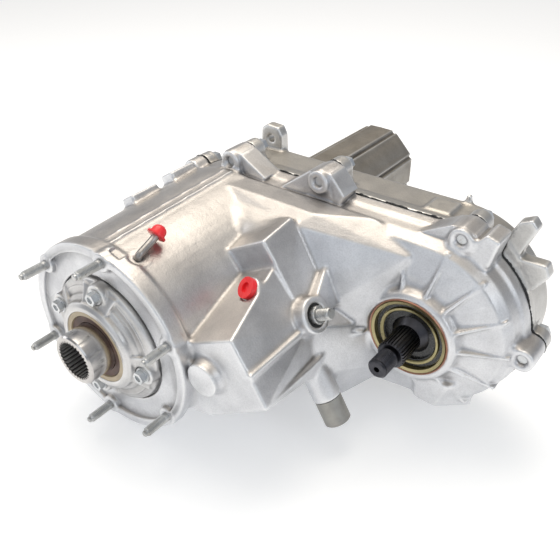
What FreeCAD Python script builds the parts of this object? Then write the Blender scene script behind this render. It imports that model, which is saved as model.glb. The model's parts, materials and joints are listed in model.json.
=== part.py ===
import FreeCAD, Part
import math
import os
from FreeCAD import Placement, Rotation, Vector
import Sketcher

# Chain-driven part-time transfer case.
# Millimetres, +Z up, +Y towards the tail housing.  Origin: centre of the adapter stud circle, on the stud boss faces.
# The shift housing is turned 30 degrees about the main axis: "across" runs along the shift shaft, "down" along the detent.

doc = FreeCAD.newDocument("transfer_case")
sheet = doc.addObject("Spreadsheet::Sheet", "Dims")

DIMS = [
    ("stud_circle_rad", 100.0), ("stud_rad", 5.0), ("stud_out", 30.4), ("flange_rad", 109.0), ("flange_thick", 20.0),
    ("barrel_rad_front", 105.0), ("barrel_rad_rear", 114.0), ("barrel_bore", 88.0),
    ("out_x", 251.5), ("out_z", 9.7), ("split_y", 240.0), ("flange_half", 13.0),
    ("main_lobe_rad", 110.0), ("out_lobe_rad", 101.0), ("lobe_lift", 4.0), ("case_wall", 8.0),
    ("front_wall_y", 196.0), ("rear_wall_y", 296.0), ("case_bolt_rad", 5.0), ("boss_rad", 12.5),
    ("hub_rad", 27.5), ("hub_tip_y", -39.9), ("input_spline_rad", 20.5), ("retainer_rad", 72.0), ("retainer_nose_y", -14.6),
    ("input_seal_rad", 41.0), ("input_bearing_od", 45.0), ("input_bearing_bore", 30.0), ("input_bearing_y", 12.0), ("input_bearing_w", 18.0),
    ("gear_module", 1.75), ("sun_teeth", 50), ("planet_teeth", 18), ("annulus_teeth", 86), ("gear_y", 50.0), ("gear_w", 28.0),
    ("annulus_od", 87.97), ("pin_rad", 6.0),
    ("main_rad", 18.0), ("main_tail_rad", 20.0), ("main_tail_y", 520.0),
    ("sprocket_tip", 64.0), ("sprocket_y", 223.0), ("sprocket_w", 34.0), ("chain_thick", 8.0),
    ("fo_tip_y", 117.0), ("fo_thread_rad", 10.0), ("fo_spline_rad", 14.8), ("fo_spline_y", 141.0), ("fo_bearing_bore", 22.0),
    ("fo_bearing_od", 41.0), ("fo_bearing_y", 188.0), ("fo_bearing_w", 16.0), ("fo_seal_y", 176.0), ("fo_seal_rad", 44.0), ("fo_boss_rad", 50.0),
    ("rear_bearing_y", 300.0), ("rear_bearing_w", 18.0), ("rear_bearing_od", 44.0), ("rear_bearing_bore", 21.0),
    ("tail_face_y", 318.0), ("tail_end_y", 550.0), ("tail_flat", 55.0), ("tail_bore", 40.0),
    ("yoke_bore", 30.0), ("tail_seal_y", 536.0),
    ("shift_y", 116.0), ("shift_down", 53.0), ("shift_rad", 6.5), ("sector_across", 138.0),
    ("detent_y", 121.0), ("detent_across", 138.5), ("rail_rad", 7.0), ("rail_across", 100.0), ("rail_down", 22.0),
]
D = {}


class E:
    """A value that knows the spreadsheet expression it came from."""

    def __init__(self, v, t):
        self.v = float(v)
        self.t = t

    def __add__(self, o):
        o = lift(o)
        return E(self.v + o.v, "(%s + %s)" % (self.t, o.t))

    def __sub__(self, o):
        o = lift(o)
        return E(self.v - o.v, "(%s - %s)" % (self.t, o.t))

    def __mul__(self, o):
        o = lift(o)
        return E(self.v * o.v, "(%s * %s)" % (self.t, o.t))

    def __neg__(self):
        return E(-self.v, "(0 - %s)" % self.t)


def lift(x):
    return x if isinstance(x, E) else E(x, "%.6f" % float(x))


def num(x):
    return x.v if isinstance(x, E) else float(x)


for i, (alias, value) in enumerate(DIMS):
    sheet.set("A%d" % (i + 1), alias.replace("_", " "))
    sheet.set("B%d" % (i + 1), str(value))
    sheet.setAlias("B%d" % (i + 1), alias)
    D[alias] = E(value, "Dims.%s" % alias)
doc.recompute()
V = {k: e.v for k, e in D.items()}

NODES = []


def node(obj, label):
    obj.Label = label
    NODES.append(obj)
    return obj


def bind(obj, path, x):
    if isinstance(x, E):
        obj.setExpression(path, x.t)


def place(obj, base, rot=None):
    obj.Placement = Placement(Vector(num(base[0]), num(base[1]), num(base[2])), rot or Rotation())
    for axis, x in zip("xyz", base):
        bind(obj, ".Placement.Base.%s" % axis, x)


ALONG_Y = Rotation(Vector(1, 0, 0), -90)
S30, C30 = 0.5, math.sqrt(3) / 2
U = Vector(C30, 0, S30)
W = Vector(S30, 0, -C30)


def uv(u, y, v):
    """A point from (across, y, down) in the turned shift-housing frame."""
    return Vector(C30 * u + S30 * v, y, S30 * u - C30 * v)


def to_dir(d):
    return Rotation(Vector(0, 0, 1), d)


def cyl(name, r, y0, y1, x=0.0, z=0.0):
    o = doc.addObject("Part::Cylinder", name)
    o.Radius = num(r)
    bind(o, "Radius", r)
    h = lift(y1) - lift(y0)
    o.Height = h.v
    if isinstance(y0, E) or isinstance(y1, E):
        bind(o, "Height", h)
    place(o, (x, y0, z), ALONG_Y)
    return o


def cone(name, r0, r1, y0, y1, x=0.0, z=0.0):
    o = doc.addObject("Part::Cone", name)
    o.Radius1, o.Radius2 = num(r0), num(r1)
    bind(o, "Radius1", r0)
    bind(o, "Radius2", r1)
    o.Height = num(y1) - num(y0)
    if isinstance(y0, E) or isinstance(y1, E):
        bind(o, "Height", lift(y1) - lift(y0))
    place(o, (x, y0, z), ALONG_Y)
    return o


def rod(name, r, p, d, length, r2=None):
    """A cylinder or cone of given length from point p in direction d."""
    if r2 is None:
        o = doc.addObject("Part::Cylinder", name)
        o.Radius = num(r)
        bind(o, "Radius", r)
    else:
        o = doc.addObject("Part::Cone", name)
        o.Radius1, o.Radius2 = num(r), num(r2)
    o.Height = num(length)
    bind(o, "Height", length)
    o.Placement = Placement(p, to_dir(d))
    return o


def feat(name, shape):
    o = doc.addObject("Part::Feature", name)
    o.Shape = shape
    return o


def fuse(name, objs):
    o = doc.addObject("Part::MultiFuse", name)
    o.Shapes = objs
    return o


def fuse_in_turn(name, objs):
    """Union built one piece at a time, for a casting with many faces that meet."""
    acc = objs[0]
    for i, o in enumerate(objs[1:]):
        f = doc.addObject("Part::Fuse", "%s_%d" % (name, i))
        f.Base, f.Tool = acc, o
        acc = f
    return acc


def cut(name, base, tool):
    o = doc.addObject("Part::Cut", name)
    o.Base, o.Tool = base, tool
    return o


def hull(points):
    """Convex polyhedron around a handful of points."""
    pts = [Vector(p) for p in points]
    n = len(pts)
    faces, seen = [], []
    for i in range(n):
        for j in range(i + 1, n):
            for k in range(j + 1, n):
                nrm = (pts[j] - pts[i]).cross(pts[k] - pts[i])
                if nrm.Length < 1e-6:
                    continue
                nrm.normalize()
                ds = [(p - pts[i]).dot(nrm) for p in pts]
                if max(ds) < 1e-4:
                    pass
                elif min(ds) > -1e-4:
                    nrm = nrm * -1
                else:
                    continue
                on = frozenset(a for a in range(n) if abs((pts[a] - pts[i]).dot(nrm)) < 1e-4)
                if on in seen:
                    continue
                seen.append(on)
                c = Vector()
                for a in on:
                    c += pts[a]
                c = c * (1.0 / len(on))
                e1 = pts[min(on)] - c
                e1.normalize()
                e2 = nrm.cross(e1)
                flat = sorted(((pts[a] - c).dot(e1), (pts[a] - c).dot(e2), a) for a in on)
                halves = []
                for order in (flat, flat[::-1]):
                    side = []
                    for q in order:
                        while len(side) > 1 and ((side[-1][0] - side[-2][0]) * (q[1] - side[-2][1])
                                                 - (side[-1][1] - side[-2][1]) * (q[0] - side[-2][0])) < 1e-4:
                            side.pop()
                        side.append(q)
                    halves += side[:-1]
                keep = [pts[q[2]] for q in halves]
                faces.append(Part.Face(Part.makePolygon(keep + [keep[0]])))
    solid = Part.Solid(Part.Shell(faces))
    if solid.Volume < 0:
        solid.reverse()
    return solid


def block(u0, u1, y0, y1, v0, v1):
    return hull([uv(u, y, v) for u in (u0, u1) for y in (y0, y1) for v in (v0, v1)])


def stadium(y, ra, rb, cx=None, cz=None):
    """Outline of two circles and their two outer tangents, in the plane at y."""
    cx = V["out_x"] if cx is None else cx
    cz = V["out_z"] if cz is None else cz
    d = math.hypot(cx, cz)
    base = math.atan2(cz, cx)
    a = math.acos((ra - rb) / d)

    def on(c, r, ang):
        return Vector(c[0] + r * math.cos(ang), y, c[1] + r * math.sin(ang))
    A, B = (0.0, 0.0), (cx, cz)
    t1, t2 = base + a, base - a
    p1, p2, p3, p4 = on(A, ra, t1), on(B, rb, t1), on(B, rb, t2), on(A, ra, t2)
    return Part.Wire([
        Part.LineSegment(p1, p2).toShape(),
        Part.Arc(p2, on(B, rb, base), p3).toShape(),
        Part.LineSegment(p3, p4).toShape(),
        Part.Arc(p4, on(A, ra, base + math.pi), p1).toShape(),
    ])


def lobe(y, ra, rb):
    """Casting outline: the output end sits a little above its shaft."""
    return stadium(y, ra, rb, V["out_x"] + 0.5, V["out_z"] + V["lobe_lift"])


def loft(wires):
    return Part.makeLoft(wires, True, True)


def revolve(label, profile, base=(0.0, 0.0, 0.0)):
    """PartDesign body: closed (radius, along) profile turned about the Y direction."""
    body = doc.addObject("PartDesign::Body", label)
    sk = body.newObject("Sketcher::SketchObject", label + "_profile")
    plane = [f for f in body.Origin.OriginFeatures if f.Role == "XY_Plane"][0]
    sk.AttachmentSupport = [(plane, "")]
    sk.MapMode = "FlatFace"
    pts = [(num(r), num(y)) for r, y in profile]
    n = len(pts)
    for i in range(n):
        a, b = pts[i], pts[(i + 1) % n]
        sk.addGeometry(Part.LineSegment(Vector(a[0], a[1], 0), Vector(b[0], b[1], 0)), False)
    for i in range(n):
        sk.addConstraint(Sketcher.Constraint("Coincident", i, 2, (i + 1) % n, 1))
    for i, (r, y) in enumerate(profile):
        if abs(num(r)) < 1e-9:
            sk.addConstraint(Sketcher.Constraint("PointOnObject", i, 1, -2))
        else:
            c = sk.addConstraint(Sketcher.Constraint("DistanceX", -1, 1, i, 1, num(r)))
            bind(sk, "Constraints[%d]" % c, r)
        if abs(num(y)) < 1e-9:
            sk.addConstraint(Sketcher.Constraint("PointOnObject", i, 1, -1))
        else:
            c = sk.addConstraint(Sketcher.Constraint("DistanceY", -1, 1, i, 1, num(y)))
            bind(sk, "Constraints[%d]" % c, y)
    rev = body.newObject("PartDesign::Revolution", label + "_turned")
    rev.Profile = sk
    rev.ReferenceAxis = (sk, ["V_Axis"])
    rev.Angle = 360
    body.Tip = rev
    place(body, base)
    return body


def ring(label, r0, r1, y0, w, x=0.0, z=0.0):
    return revolve(label, [(r0, 0.0), (r1, 0.0), (r1, w), (r0, w)], (x, y0, z))


def hexagon(af, p, d, length):
    """Hexagonal prism across flats af, from p along d."""
    r = af / math.sqrt(3)
    pts = [Vector(r * math.cos(math.radians(60 * i)), r * math.sin(math.radians(60 * i)), 0) for i in range(6)]
    f = Part.Face(Part.makePolygon(pts + [pts[0]]))
    s = f.extrude(Vector(0, 0, length))
    s.Placement = Placement(p, to_dir(d))
    return s


def solid_rod(r, p, d, length):
    return Part.makeCylinder(r, length, p, d)


def prism(pts2, y0, y1, x=0.0, z=0.0):
    """Extrusion along Y of a closed polygon given as (X, Z) points."""
    ps = [Vector(px + x, y0, pz + z) for px, pz in pts2]
    return Part.Face(Part.makePolygon(ps + [ps[0]])).extrude(Vector(0, y1 - y0, 0))


def involute(z, m, y0, y1, bore=None, outer=None, phase=0.0, x=0.0, zc=0.0, backlash=0.16, add=1.0, ded=1.2):
    """Spur gear along Y. bore: inner radius of an external gear; outer: body radius of an internal gear."""
    rp = z * m / 2.0
    rb = rp * math.cos(math.radians(20))
    inv = math.tan(math.radians(20)) - math.radians(20)
    internal = outer is not None
    ra = rp + m * (ded if internal else add)
    rf = rp - m * (add if internal else ded)
    # half tooth angle at the pitch circle; an internal gear is the space left by a slightly thick external one
    half = math.pi / (2 * z) + (backlash / 2 / rp) * (1 if internal else -1)

    def ang(r):
        if r <= rb:
            return half + inv
        a = math.acos(rb / r)
        return half + inv - (math.tan(a) - a)
    radii = [rf, max(rb, rf + 0.15 * m), rp - 0.25 * m, rp + 0.3 * m, ra]
    radii = sorted(set(round(r, 4) for r in radii if r >= rf))
    pts = []
    for k in range(z):
        c = phase + 2 * math.pi * k / z
        left = [(r, c - ang(r)) for r in radii]
        right = [(r, c + ang(r)) for r in reversed(radii)]
        pts += left + right
    ps = [(r * math.cos(a) + x, r * math.sin(a) + zc) for r, a in pts]
    g = prism(ps, y0, y1)
    if internal:
        return Part.makeCylinder(outer, y1 - y0, Vector(x, y0, zc), Vector(0, 1, 0)).cut(
            prism(ps, y0 - 1, y1 + 1))
    if bore:
        g = g.cut(Part.makeCylinder(bore, y1 - y0 + 2, Vector(x, y0 - 1, zc), Vector(0, 1, 0)))
    return g


def toothed(z, tip, root, y0, y1, bore=None, x=0.0, zc=0.0, duty=0.5, phase=0.0, taper=0.75):
    """Straight-sided teeth for splines, sprockets and dog rings."""
    pts = []
    for k in range(z):
        c = phase + 2 * math.pi * k / z
        hw = math.pi / z * duty
        pts += [(root, c - hw), (tip, c - hw * taper), (tip, c + hw * taper), (root, c + hw)]
    g = prism([(r * math.cos(a) + x, r * math.sin(a) + zc) for r, a in pts], y0, y1)
    if bore:
        g = g.cut(Part.makeCylinder(bore, y1 - y0 + 2, Vector(x, y0 - 1, zc), Vector(0, 1, 0)))
    return g


def ball_ring(n, rc, rball, y, x=0.0, zc=0.0):
    return [Part.makeSphere(rball, Vector(x + rc * math.cos(2 * math.pi * k / n), y, zc + rc * math.sin(2 * math.pi * k / n)))
            for k in range(n)]


YD = Vector(0, 1, 0)
FX, FZ = V["out_x"], V["out_z"]
SY = V["split_y"]
STUDS = [math.radians(141.6 - 60 * k) for k in range(6)]
SR = V["stud_circle_rad"]

# ---------------------------------------------------------------- case halves: bolt bosses round the split flange
BOSSES = [(-3, 122), (117, 131), (279, 118), (358, 12), (279, -83), (150, -102), (60, -113), (-40, -113), (-108, -52), (-116, 24), (-78, 86)]

# ---------------------------------------------------------------- front case
fc = []
fc.append(cyl("fc_flange", D["flange_rad"], 1.5, D["flange_thick"]))
fc.append(cone("fc_barrel", D["barrel_rad_front"], D["barrel_rad_rear"], 8.0, 206.0))
for k, a in enumerate(STUDS):
    fc.append(cyl("fc_stud_boss_%d" % k, 10.5, 0.0, 18.0, round(SR * math.cos(a), 4), round(SR * math.sin(a), 4)))
# chain chamber: a shallow dish that grows to the split flange
fc.append(feat("fc_chamber", loft([
    lobe(190.0, V["main_lobe_rad"] - 12, V["out_lobe_rad"] - 43), lobe(199.0, V["main_lobe_rad"] - 3, V["out_lobe_rad"] - 11),
    lobe(210.0, V["main_lobe_rad"] - 2, V["out_lobe_rad"] - 4.5),
    lobe(SY - V["flange_half"], V["main_lobe_rad"] - 1, V["out_lobe_rad"] - 2.5)])))
fc.append(feat("fc_split_flange", loft([lobe(SY - V["flange_half"] - 0.5, V["main_lobe_rad"], V["out_lobe_rad"]),
                                        lobe(SY - 0.25, V["main_lobe_rad"] + 1.5, V["out_lobe_rad"] + 1.5)])))
for k, (bx, bz) in enumerate(BOSSES):
    front = {4: 220.0, 10: 220.0, 9: 222.0}.get(k, 207.0)
    fc.append(cyl("fc_boss_%d" % k, D["boss_rad"], front, D["split_y"] - 0.25, bx, bz))
    # web from each boss back to the wall
    L = math.hypot(bx - FX, bz - FZ) if bx > 200 else math.hypot(bx, bz)
    cx, cz = (FX, FZ) if bx > 200 else (0.0, 0.0) if bx < 60 else (bx, 0.0)
    dx, dz = cx - bx, cz - bz
    q = math.hypot(dx, dz)
    dx, dz = dx / q, dz / q
    nx, nz = -dz, dx
    pts = []
    for s, y in ((11.5, front + 1), (11.5, SY - 1)):
        for w in (-1, 1):
            pts.append(Vector(bx + nx * s * w, y, bz + nz * s * w))
    for s, y in ((16.0, front + 8), (20.0, SY - 1)):
        for w in (-1, 1):
            pts.append(Vector(bx + nx * s * w + dx * 24, y, bz + nz * s * w + dz * 24))
    fc.append(feat("fc_boss_web_%d" % k, hull(pts)))
# front output boss, with its outward flare and fins
fc.append(cyl("fc_out_boss", D["fo_boss_rad"], 179.0, 214.0, D["out_x"], D["out_z"]))
for k, ang in enumerate((136, 106, 78, 52, 26, 2, -24, -50, -80, -110)):
    a = math.radians(ang)
    dx, dz = math.cos(a), math.sin(a)
    nx, nz = -dz, dx
    pts = []
    for r, y in ((44, 180.5), (44, 205), (78, 196.0), (82, 206)):
        for w in (-1.6, 1.6):
            pts.append(Vector(FX + dx * r + nx * w, y, FZ + dz * r + nz * w))
    fc.append(feat("fc_fin_%d" % k, hull(pts)))
# shift housing block, in the turned frame: shelf, upper step, side wall with its ridge, floor
fc.append(feat("fc_shift_block", hull([
    uv(60, 18, 20), uv(168, 18, 24), uv(170, 18, 62), uv(171, 18, 97), uv(86, 18, 104), uv(60, 18, 96),
    uv(60, 117, -7), uv(156.8, 117, -7.2), uv(166.8, 117, 60), uv(147, 117, 115.6), uv(60, 117, 110)])))
fc.append(feat("fc_shift_block_rear", hull([
    uv(60, 112, -33), uv(158, 112, -33), uv(158, 112, -7), uv(168, 112, 60), uv(148, 112, 117), uv(60, 112, 112),
    uv(60, 160, -42), uv(160, 160, -38), uv(165, 160, 28), uv(168, 160, 60), uv(150, 160, 112), uv(60, 160, 112)])))
fc.append(feat("fc_front_slope", hull([
    Vector(20, 161, 96), Vector(42, 159.5, 100), Vector(123, 159.5, 104), uv(164, 155, 28), uv(167, 155, 60), uv(149, 155, 110.5), uv(60, 155, 60),
    Vector(20, 178, 112), Vector(135, 177, 113.5), Vector(20, 206, 111), Vector(190, 206, 113), Vector(236, 191, 92), Vector(224, 186, 44),
    Vector(215, 190, -20), Vector(236, 206, 96), Vector(215, 206, -40), Vector(100, 206, -60)])))
fc.append(feat("fc_shift_floor", hull([
    uv(80, 24, 97), uv(171, 18, 97), uv(86, 18, 103), uv(148, 112, 117.2), uv(80, 112, 118), uv(140, 150, 120), uv(80, 150, 118),
    uv(80, 200, 100), uv(150, 200, 104)])))
fc.append(feat("fc_lower_bridge", hull([
    uv(120, 112, 70), uv(165, 112, 64), uv(148, 112, 116.5), uv(120, 112, 112), Vector(184, 165, -97), Vector(160, 165, -92), Vector(194, 180, -88),
    Vector(204, 205, -86), Vector(208, 224, -90), Vector(208, 185, 4), Vector(214, 188, -44), Vector(224, 208, -60),
    Vector(150, 224, -92), Vector(120, 206, -60), uv(165, 152, 62)])))
fc.append(feat("fc_side_rib", hull([uv(u, y, v) for u, y in ((160, 17), (172.5, 17), (160, 102), (171, 102)) for v in (59.5, 63.0)])))
fc.append(feat("fc_lug_upper", hull([Vector(x, y, z) for y in (209, 239.75) for x, z in ((292, 119), (302, 131), (316, 127), (309, 98), (290, 100))])))
fc.append(rod("fc_shift_shaft_boss", 19.0, uv(150, V["shift_y"], V["shift_down"]), U, 30.0))
fc.append(feat("fc_shift_shaft_web", hull([
    uv(150, 116 + 12, 53 - 14), uv(178, 116 + 12, 53 - 14), uv(178, 116 + 16, 53 + 10), uv(150, 116 + 16, 53 + 10),
    uv(150, 168, 18), uv(174, 166, 18), uv(172, 166, 60), uv(150, 168, 60)])))
fc.append(rod("fc_detent_boss", 15.5, uv(V["detent_across"], V["detent_y"], 98), W, 52.0))
fc.append(feat("fc_front_boss_seat", solid_rod(18.5, Vector(128, 12, 9), YD, 20)))
# curved webs between shift housing and output boss
for k, (v0, v1, dv) in enumerate(((58, 96, 0), (84, 112, 6))):
    fc.append(feat("fc_web_%d" % k, hull([
        uv(160, 150 - 10 * k, v0), uv(160, 150 - 10 * k, v0 + 4), uv(160, 205, v0), uv(160, 205, v0 + 4),
        uv(196 - 2 * k, 184, v1), uv(196 - 2 * k, 184, v1 + 4), uv(196, 205, v1), uv(196, 205, v1 + 4)])))
# bottom foot under the output lobe, top rib lugs on the left, vent and port seats
fc.append(feat("fc_foot", hull([
    Vector(262, 184, -40), Vector(300, 184, -36), Vector(264, 182, -66), Vector(288, 184, -70),
    Vector(250, 214, -92), Vector(318, 214, -74), Vector(318, 214, -40), Vector(250, 214, -40)])))
for k, (a, y0, y1, r1) in enumerate(((122, 104, 142, 119.5), (122, 166, 204, 123.5))):
    a0, a1 = math.radians(a - 5), math.radians(a + 6)
    fc.append(feat("fc_left_lug_%d" % k, hull([Vector(r * math.cos(b), y, r * math.sin(b)) for b in (a0, a1) for r in (100, r1) for y in (y0, y1)])))
fc.append(feat("fc_parting_ridge", hull([Vector(x, y, z) for x in (-5, 6) for y, z in ((14, 107.4), (200, 115.6), (14, 90), (200, 90))])))
fc.append(feat("fc_vent_seat", solid_rod(9.0, Vector(31, 28, 84), Vector(0.35, 0, 0.94), 18)))
PORT_AXIS = W * -0.70 + Vector(0, -0.714, 0)
PORT_AXIS.normalize()
PORT = uv(148, 89, 10)
fc.append(feat("fc_port_seat", solid_rod(11.5, PORT - PORT_AXIS * 8, PORT_AXIS, 20.5)))
BY_NAME = {o.Name: o for o in fc}
TURNED = ["fc_shift_block", "fc_shift_block_rear", "fc_front_slope", "fc_shift_floor", "fc_lower_bridge", "fc_side_rib"]
GROUPS = [("fc_flange", "fc_barrel", "fc_stud"), ("fc_chamber", "fc_split"), ("fc_boss", "fc_lug"), ("fc_out", "fc_fin"),
          ("fc_shift_shaft", "fc_detent"), ("fc_front_boss", "fc_web", "fc_foot"), ("fc_left", "fc_parting", "fc_vent", "fc_port")]
front_parts = [fuse("front_group_%d" % i, [o for o in fc if o.Name.startswith(g)]) for i, g in enumerate(GROUPS)]
front_solid = fuse_in_turn("front_case_solid", front_parts[:2] + [BY_NAME[n] for n in TURNED] + front_parts[2:])
assert sum(len(g.Shapes) for g in front_parts) + len(TURNED) == len(fc)

fx = []
fx.append(cyl("fx_front_recess", 98.6, -2.0, 6.0))
fx.append(cyl("fx_retainer_seat", D["retainer_rad"] + 1.5, 4.0, 10.0))
fx.append(cyl("fx_bearing_bore", D["input_bearing_od"], 5.0, D["input_bearing_y"] + D["input_bearing_w"]))
fx.append(cyl("fx_hub_clear", 38.0, 20.0, 42.0))
fx.append(cyl("fx_range_bore", D["barrel_bore"], 40.0, 200.0))
fx.append(feat("fx_chamber", loft([lobe(205.0, V["main_lobe_rad"] - 18, V["out_lobe_rad"] - 14),
                                   lobe(SY + 1, V["main_lobe_rad"] - 14, V["out_lobe_rad"] - 11)])))
fx.append(cyl("fx_range_to_chamber", D["barrel_bore"], 195.0, 215.0))
fx.append(cyl("fx_lip_clear", 45.4, 140.0, 178.98, D["out_x"], D["out_z"]))
fx.append(cyl("fx_out_seal_bore", D["fo_bearing_od"], 178.0, 214.0, D["out_x"], D["out_z"]))
fx.append(feat("fx_shift_void", block(92, 150, 64, 168, 26, 94)))
fx.append(feat("fx_shift_void_rear", hull([uv(85, 150, -14), uv(150, 150, -14), uv(146, 150, 92), uv(85, 150, 92),
                                          uv(85, 208, -14), uv(150, 208, -14), uv(146, 208, 92), uv(85, 208, 92)])))
FORK_DIR = Vector(uv(100, 0, 22).x, 0, uv(100, 0, 22).z)
FORK_DIR.normalize()
FORK_SIDE = Vector(-FORK_DIR.z, 0, FORK_DIR.x)
fx.append(feat("fx_fork_slot", hull([FORK_DIR * r + FORK_SIDE * w + Vector(0, y, 0) for r, q in ((70, 24), (103, 12)) for w in (-q, q) for y in (96, 207)])))
fx.append(feat("fx_rail_clear", Part.makeCylinder(12, 120, uv(100, 90, 22), YD)))
fx.append(rod("fx_shift_shaft_bore", D["shift_rad"] + 0.05, uv(140, V["shift_y"], V["shift_down"]), U, 50.0))
fx.append(rod("fx_shift_shaft_counterbore", 12.0, uv(172.5, V["shift_y"], V["shift_down"]), U, 12.0))
fx.append(rod("fx_detent_bore", 7.05, uv(V["detent_across"], V["detent_y"], 90), W, 70.0))
fx.append(rod("fx_detent_seat", 10.0, uv(V["detent_across"], V["detent_y"], 136), W, 20.0))
fx.append(feat("fx_port_face", solid_rod(11.4, PORT + PORT_AXIS * 12.5, PORT_AXIS, 20)))
fx.append(feat("fx_port_hole", solid_rod(8.0, PORT - PORT_AXIS * 30, PORT_AXIS, 60)))
fx.append(feat("fx_vent_hole", solid_rod(4.0, Vector(31, 28, 84) - Vector(0.35, 0, 0.94) * 0, Vector(0.35, 0, 0.94), 22)))
for k, a in enumerate(STUDS):
    fx.append(cyl("fx_stud_hole_%d" % k, D["stud_rad"], -1.0, 20.0, round(SR * math.cos(a), 4), round(SR * math.sin(a), 4)))
for k, (bx, bz) in enumerate(BOSSES):
    fx.append(cyl("fx_bolt_hole_%d" % k, D["case_bolt_rad"], 200.0, D["split_y"] + 1.0, bx, bz))
RET_BOLTS = [math.radians(a) for a in (84, 156, -10, -102)]
for k, a in enumerate(RET_BOLTS):
    fx.append(cyl("fx_ret_hole_%d" % k, 4.0, 5.0, 26.0, round(61 * math.cos(a), 4), round(61 * math.sin(a), 4)))
fx.append(cyl("fx_rail_socket", D["rail_rad"], 44.0, 92.0, round(uv(100, 0, 22).x, 4), round(uv(100, 0, 22).z, 4)))
front_tools = fuse("front_case_tools", fx)
node(cut("front_case_cut", front_solid, front_tools), "front_case")

# ---------------------------------------------------------------- sealant bead on the split
bead = Part.Face(lobe(SY - 0.25, V["main_lobe_rad"] + 1.0, V["out_lobe_rad"] + 1.0)).extrude(Vector(0, 0.5, 0)).cut(
    Part.Face(lobe(SY - 1, V["main_lobe_rad"] - 13, V["out_lobe_rad"] - 10)).extrude(Vector(0, 2, 0)))
for bx, bz in BOSSES:
    bead = bead.cut(solid_rod(V["case_bolt_rad"] + 0.4, Vector(bx, SY - 1, bz), YD, 2))
node(feat("sealant_shape", bead), "sealant_bead")

# ---------------------------------------------------------------- rear case
rc = []
rc.append(feat("rc_split_flange", loft([lobe(SY + 0.25, V["main_lobe_rad"] + 1.5, V["out_lobe_rad"] + 1.5),
                                        lobe(SY + V["flange_half"], V["main_lobe_rad"], V["out_lobe_rad"])])))
rc.append(feat("rc_chamber", loft([
    lobe(SY + 4, V["main_lobe_rad"] - 1, V["out_lobe_rad"] - 2), lobe(295.0, V["main_lobe_rad"] - 1.5, V["out_lobe_rad"] - 2.5),
    lobe(304.0, V["main_lobe_rad"] - 9, V["out_lobe_rad"] - 10)])))
for k, (bx, bz) in enumerate(BOSSES):
    rc.append(cyl("rc_boss_%d" % k, D["boss_rad"], D["split_y"] + 0.25, 258.0, bx, bz))
    cx, cz = (FX, FZ) if bx > 200 else (0.0, 0.0) if bx < 60 else (bx, 0.0)
    dx, dz = cx - bx, cz - bz
    q = math.hypot(dx, dz)
    dx, dz = dx / q, dz / q
    nx, nz = -dz, dx
    pts = []
    for s, y in ((11.5, SY + 0.3), (11.5, 257)):
        for w in (-1, 1):
            pts.append(Vector(bx + nx * s * w, y, bz + nz * s * w))
    for s, y in ((18.0, SY + 0.3), (13.0, 264)):
        for w in (-1, 1):
            pts.append(Vector(bx + nx * s * w + dx * 24, y, bz + nz * s * w + dz * 24))
    rc.append(feat("rc_boss_web_%d" % k, hull(pts)))
rc.append(cone("rc_bearing_boss", 74.0, 62.0, 290.0, D["tail_face_y"]))
rc.append(cyl("rc_out_rear_boss", 36.0, 296.0, 311.0, D["out_x"], D["out_z"]))
for k, a in enumerate((20, 92, 164, 236, 308)):
    rc.append(cyl("rc_tail_boss_%d" % k, 11.0, 294.0, D["tail_face_y"], round(64 * math.cos(math.radians(a)), 4), round(64 * math.sin(math.radians(a)), 4)))
# lifting ear, side lug with its two arms, top pad, spur and back ribs
rc.append(feat("rc_ear", hull([Vector(x, y, z) for x, z in ((-25, 80), (9, 80), (8, 128), (3, 137), (-14, 138), (-22, 132)) for y in (289, 303)])))
rc.append(feat("rc_side_lug", hull([Vector(x, y, z) for x, z in ((290, 100), (309, 114), (327, 97), (312, 76)) for y in (242, 262)])))
rc.append(feat("rc_side_arm_upper", hull([Vector(x, y, z) for x, z in ((302, 100), (318, 134), (330, 140), (337, 132), (322, 92)) for y in (244, 259)])))
rc.append(feat("rc_side_arm_lower", hull([Vector(x, y, z) for x, z in ((312, 84), (324, 98), (352, 99), (357, 88), (344, 68)) for y in (243, 258)])))
rc.append(feat("rc_top_pad", hull([Vector(x, y, z) for x, z, e in ((216, 100, 0), (218, 115.5, 4), (246, 116.5, 4), (250, 100, 0)) for y in (250 + e, 286 - e)])))
rc.append(feat("rc_spur", hull([Vector(x, y, z) for x, z in ((244, 100), (246, 121), (251, 121), (254, 100)) for y in (292, 298)])))
rc.append(feat("rc_back_ribs", hull([Vector(x, y, z) for x, z in ((20, -6), (20, 6), (230, 15), (230, 3)) for y in (290, 314)])))
rc.append(feat("rc_back_rib_low", hull([Vector(x, y, z) for x, z in ((40, -56), (44, -64), (232, -34), (228, -26)) for y in (290, 311)])))
rc.append(feat("rc_back_rib_high", hull([Vector(x, y, z) for x, z in ((40, 60), (44, 68), (232, 52), (228, 44)) for y in (290, 311)])))
rc.append(cyl("rc_fill_boss", 19.0, 290.0, 312.0, 150.0, 66.0))
rc.append(cyl("rc_drain_boss", 19.0, 290.0, 312.0, 168.0, -62.0))
rear_solid = fuse("rear_case_solid", rc)
rx = []
rx.append(feat("rx_chamber", loft([lobe(SY - 1, V["main_lobe_rad"] - 14, V["out_lobe_rad"] - 11),
                                   lobe(286.0, V["main_lobe_rad"] - 15, V["out_lobe_rad"] - 13),
                                   lobe(294.0, V["main_lobe_rad"] - 24, V["out_lobe_rad"] - 24)])))
rx.append(cyl("rx_bearing_bore", D["rear_bearing_od"], 299.0, 330.0))
rx.append(cyl("rx_main_clear", 30.0, 280.0, 301.0))
rx.append(cyl("rx_out_bearing_bore", 26.0, 280.0, 303.0, D["out_x"], D["out_z"]))
rx.append(feat("rx_lug_scoop", Part.makeCylinder(13, 60, Vector(347, 240, 115), YD)))
rx.append(feat("rx_magnet_seat", Part.makeBox(26.4, 14.4, 14, Vector(119.8, 261.8, -88.05))))
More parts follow.
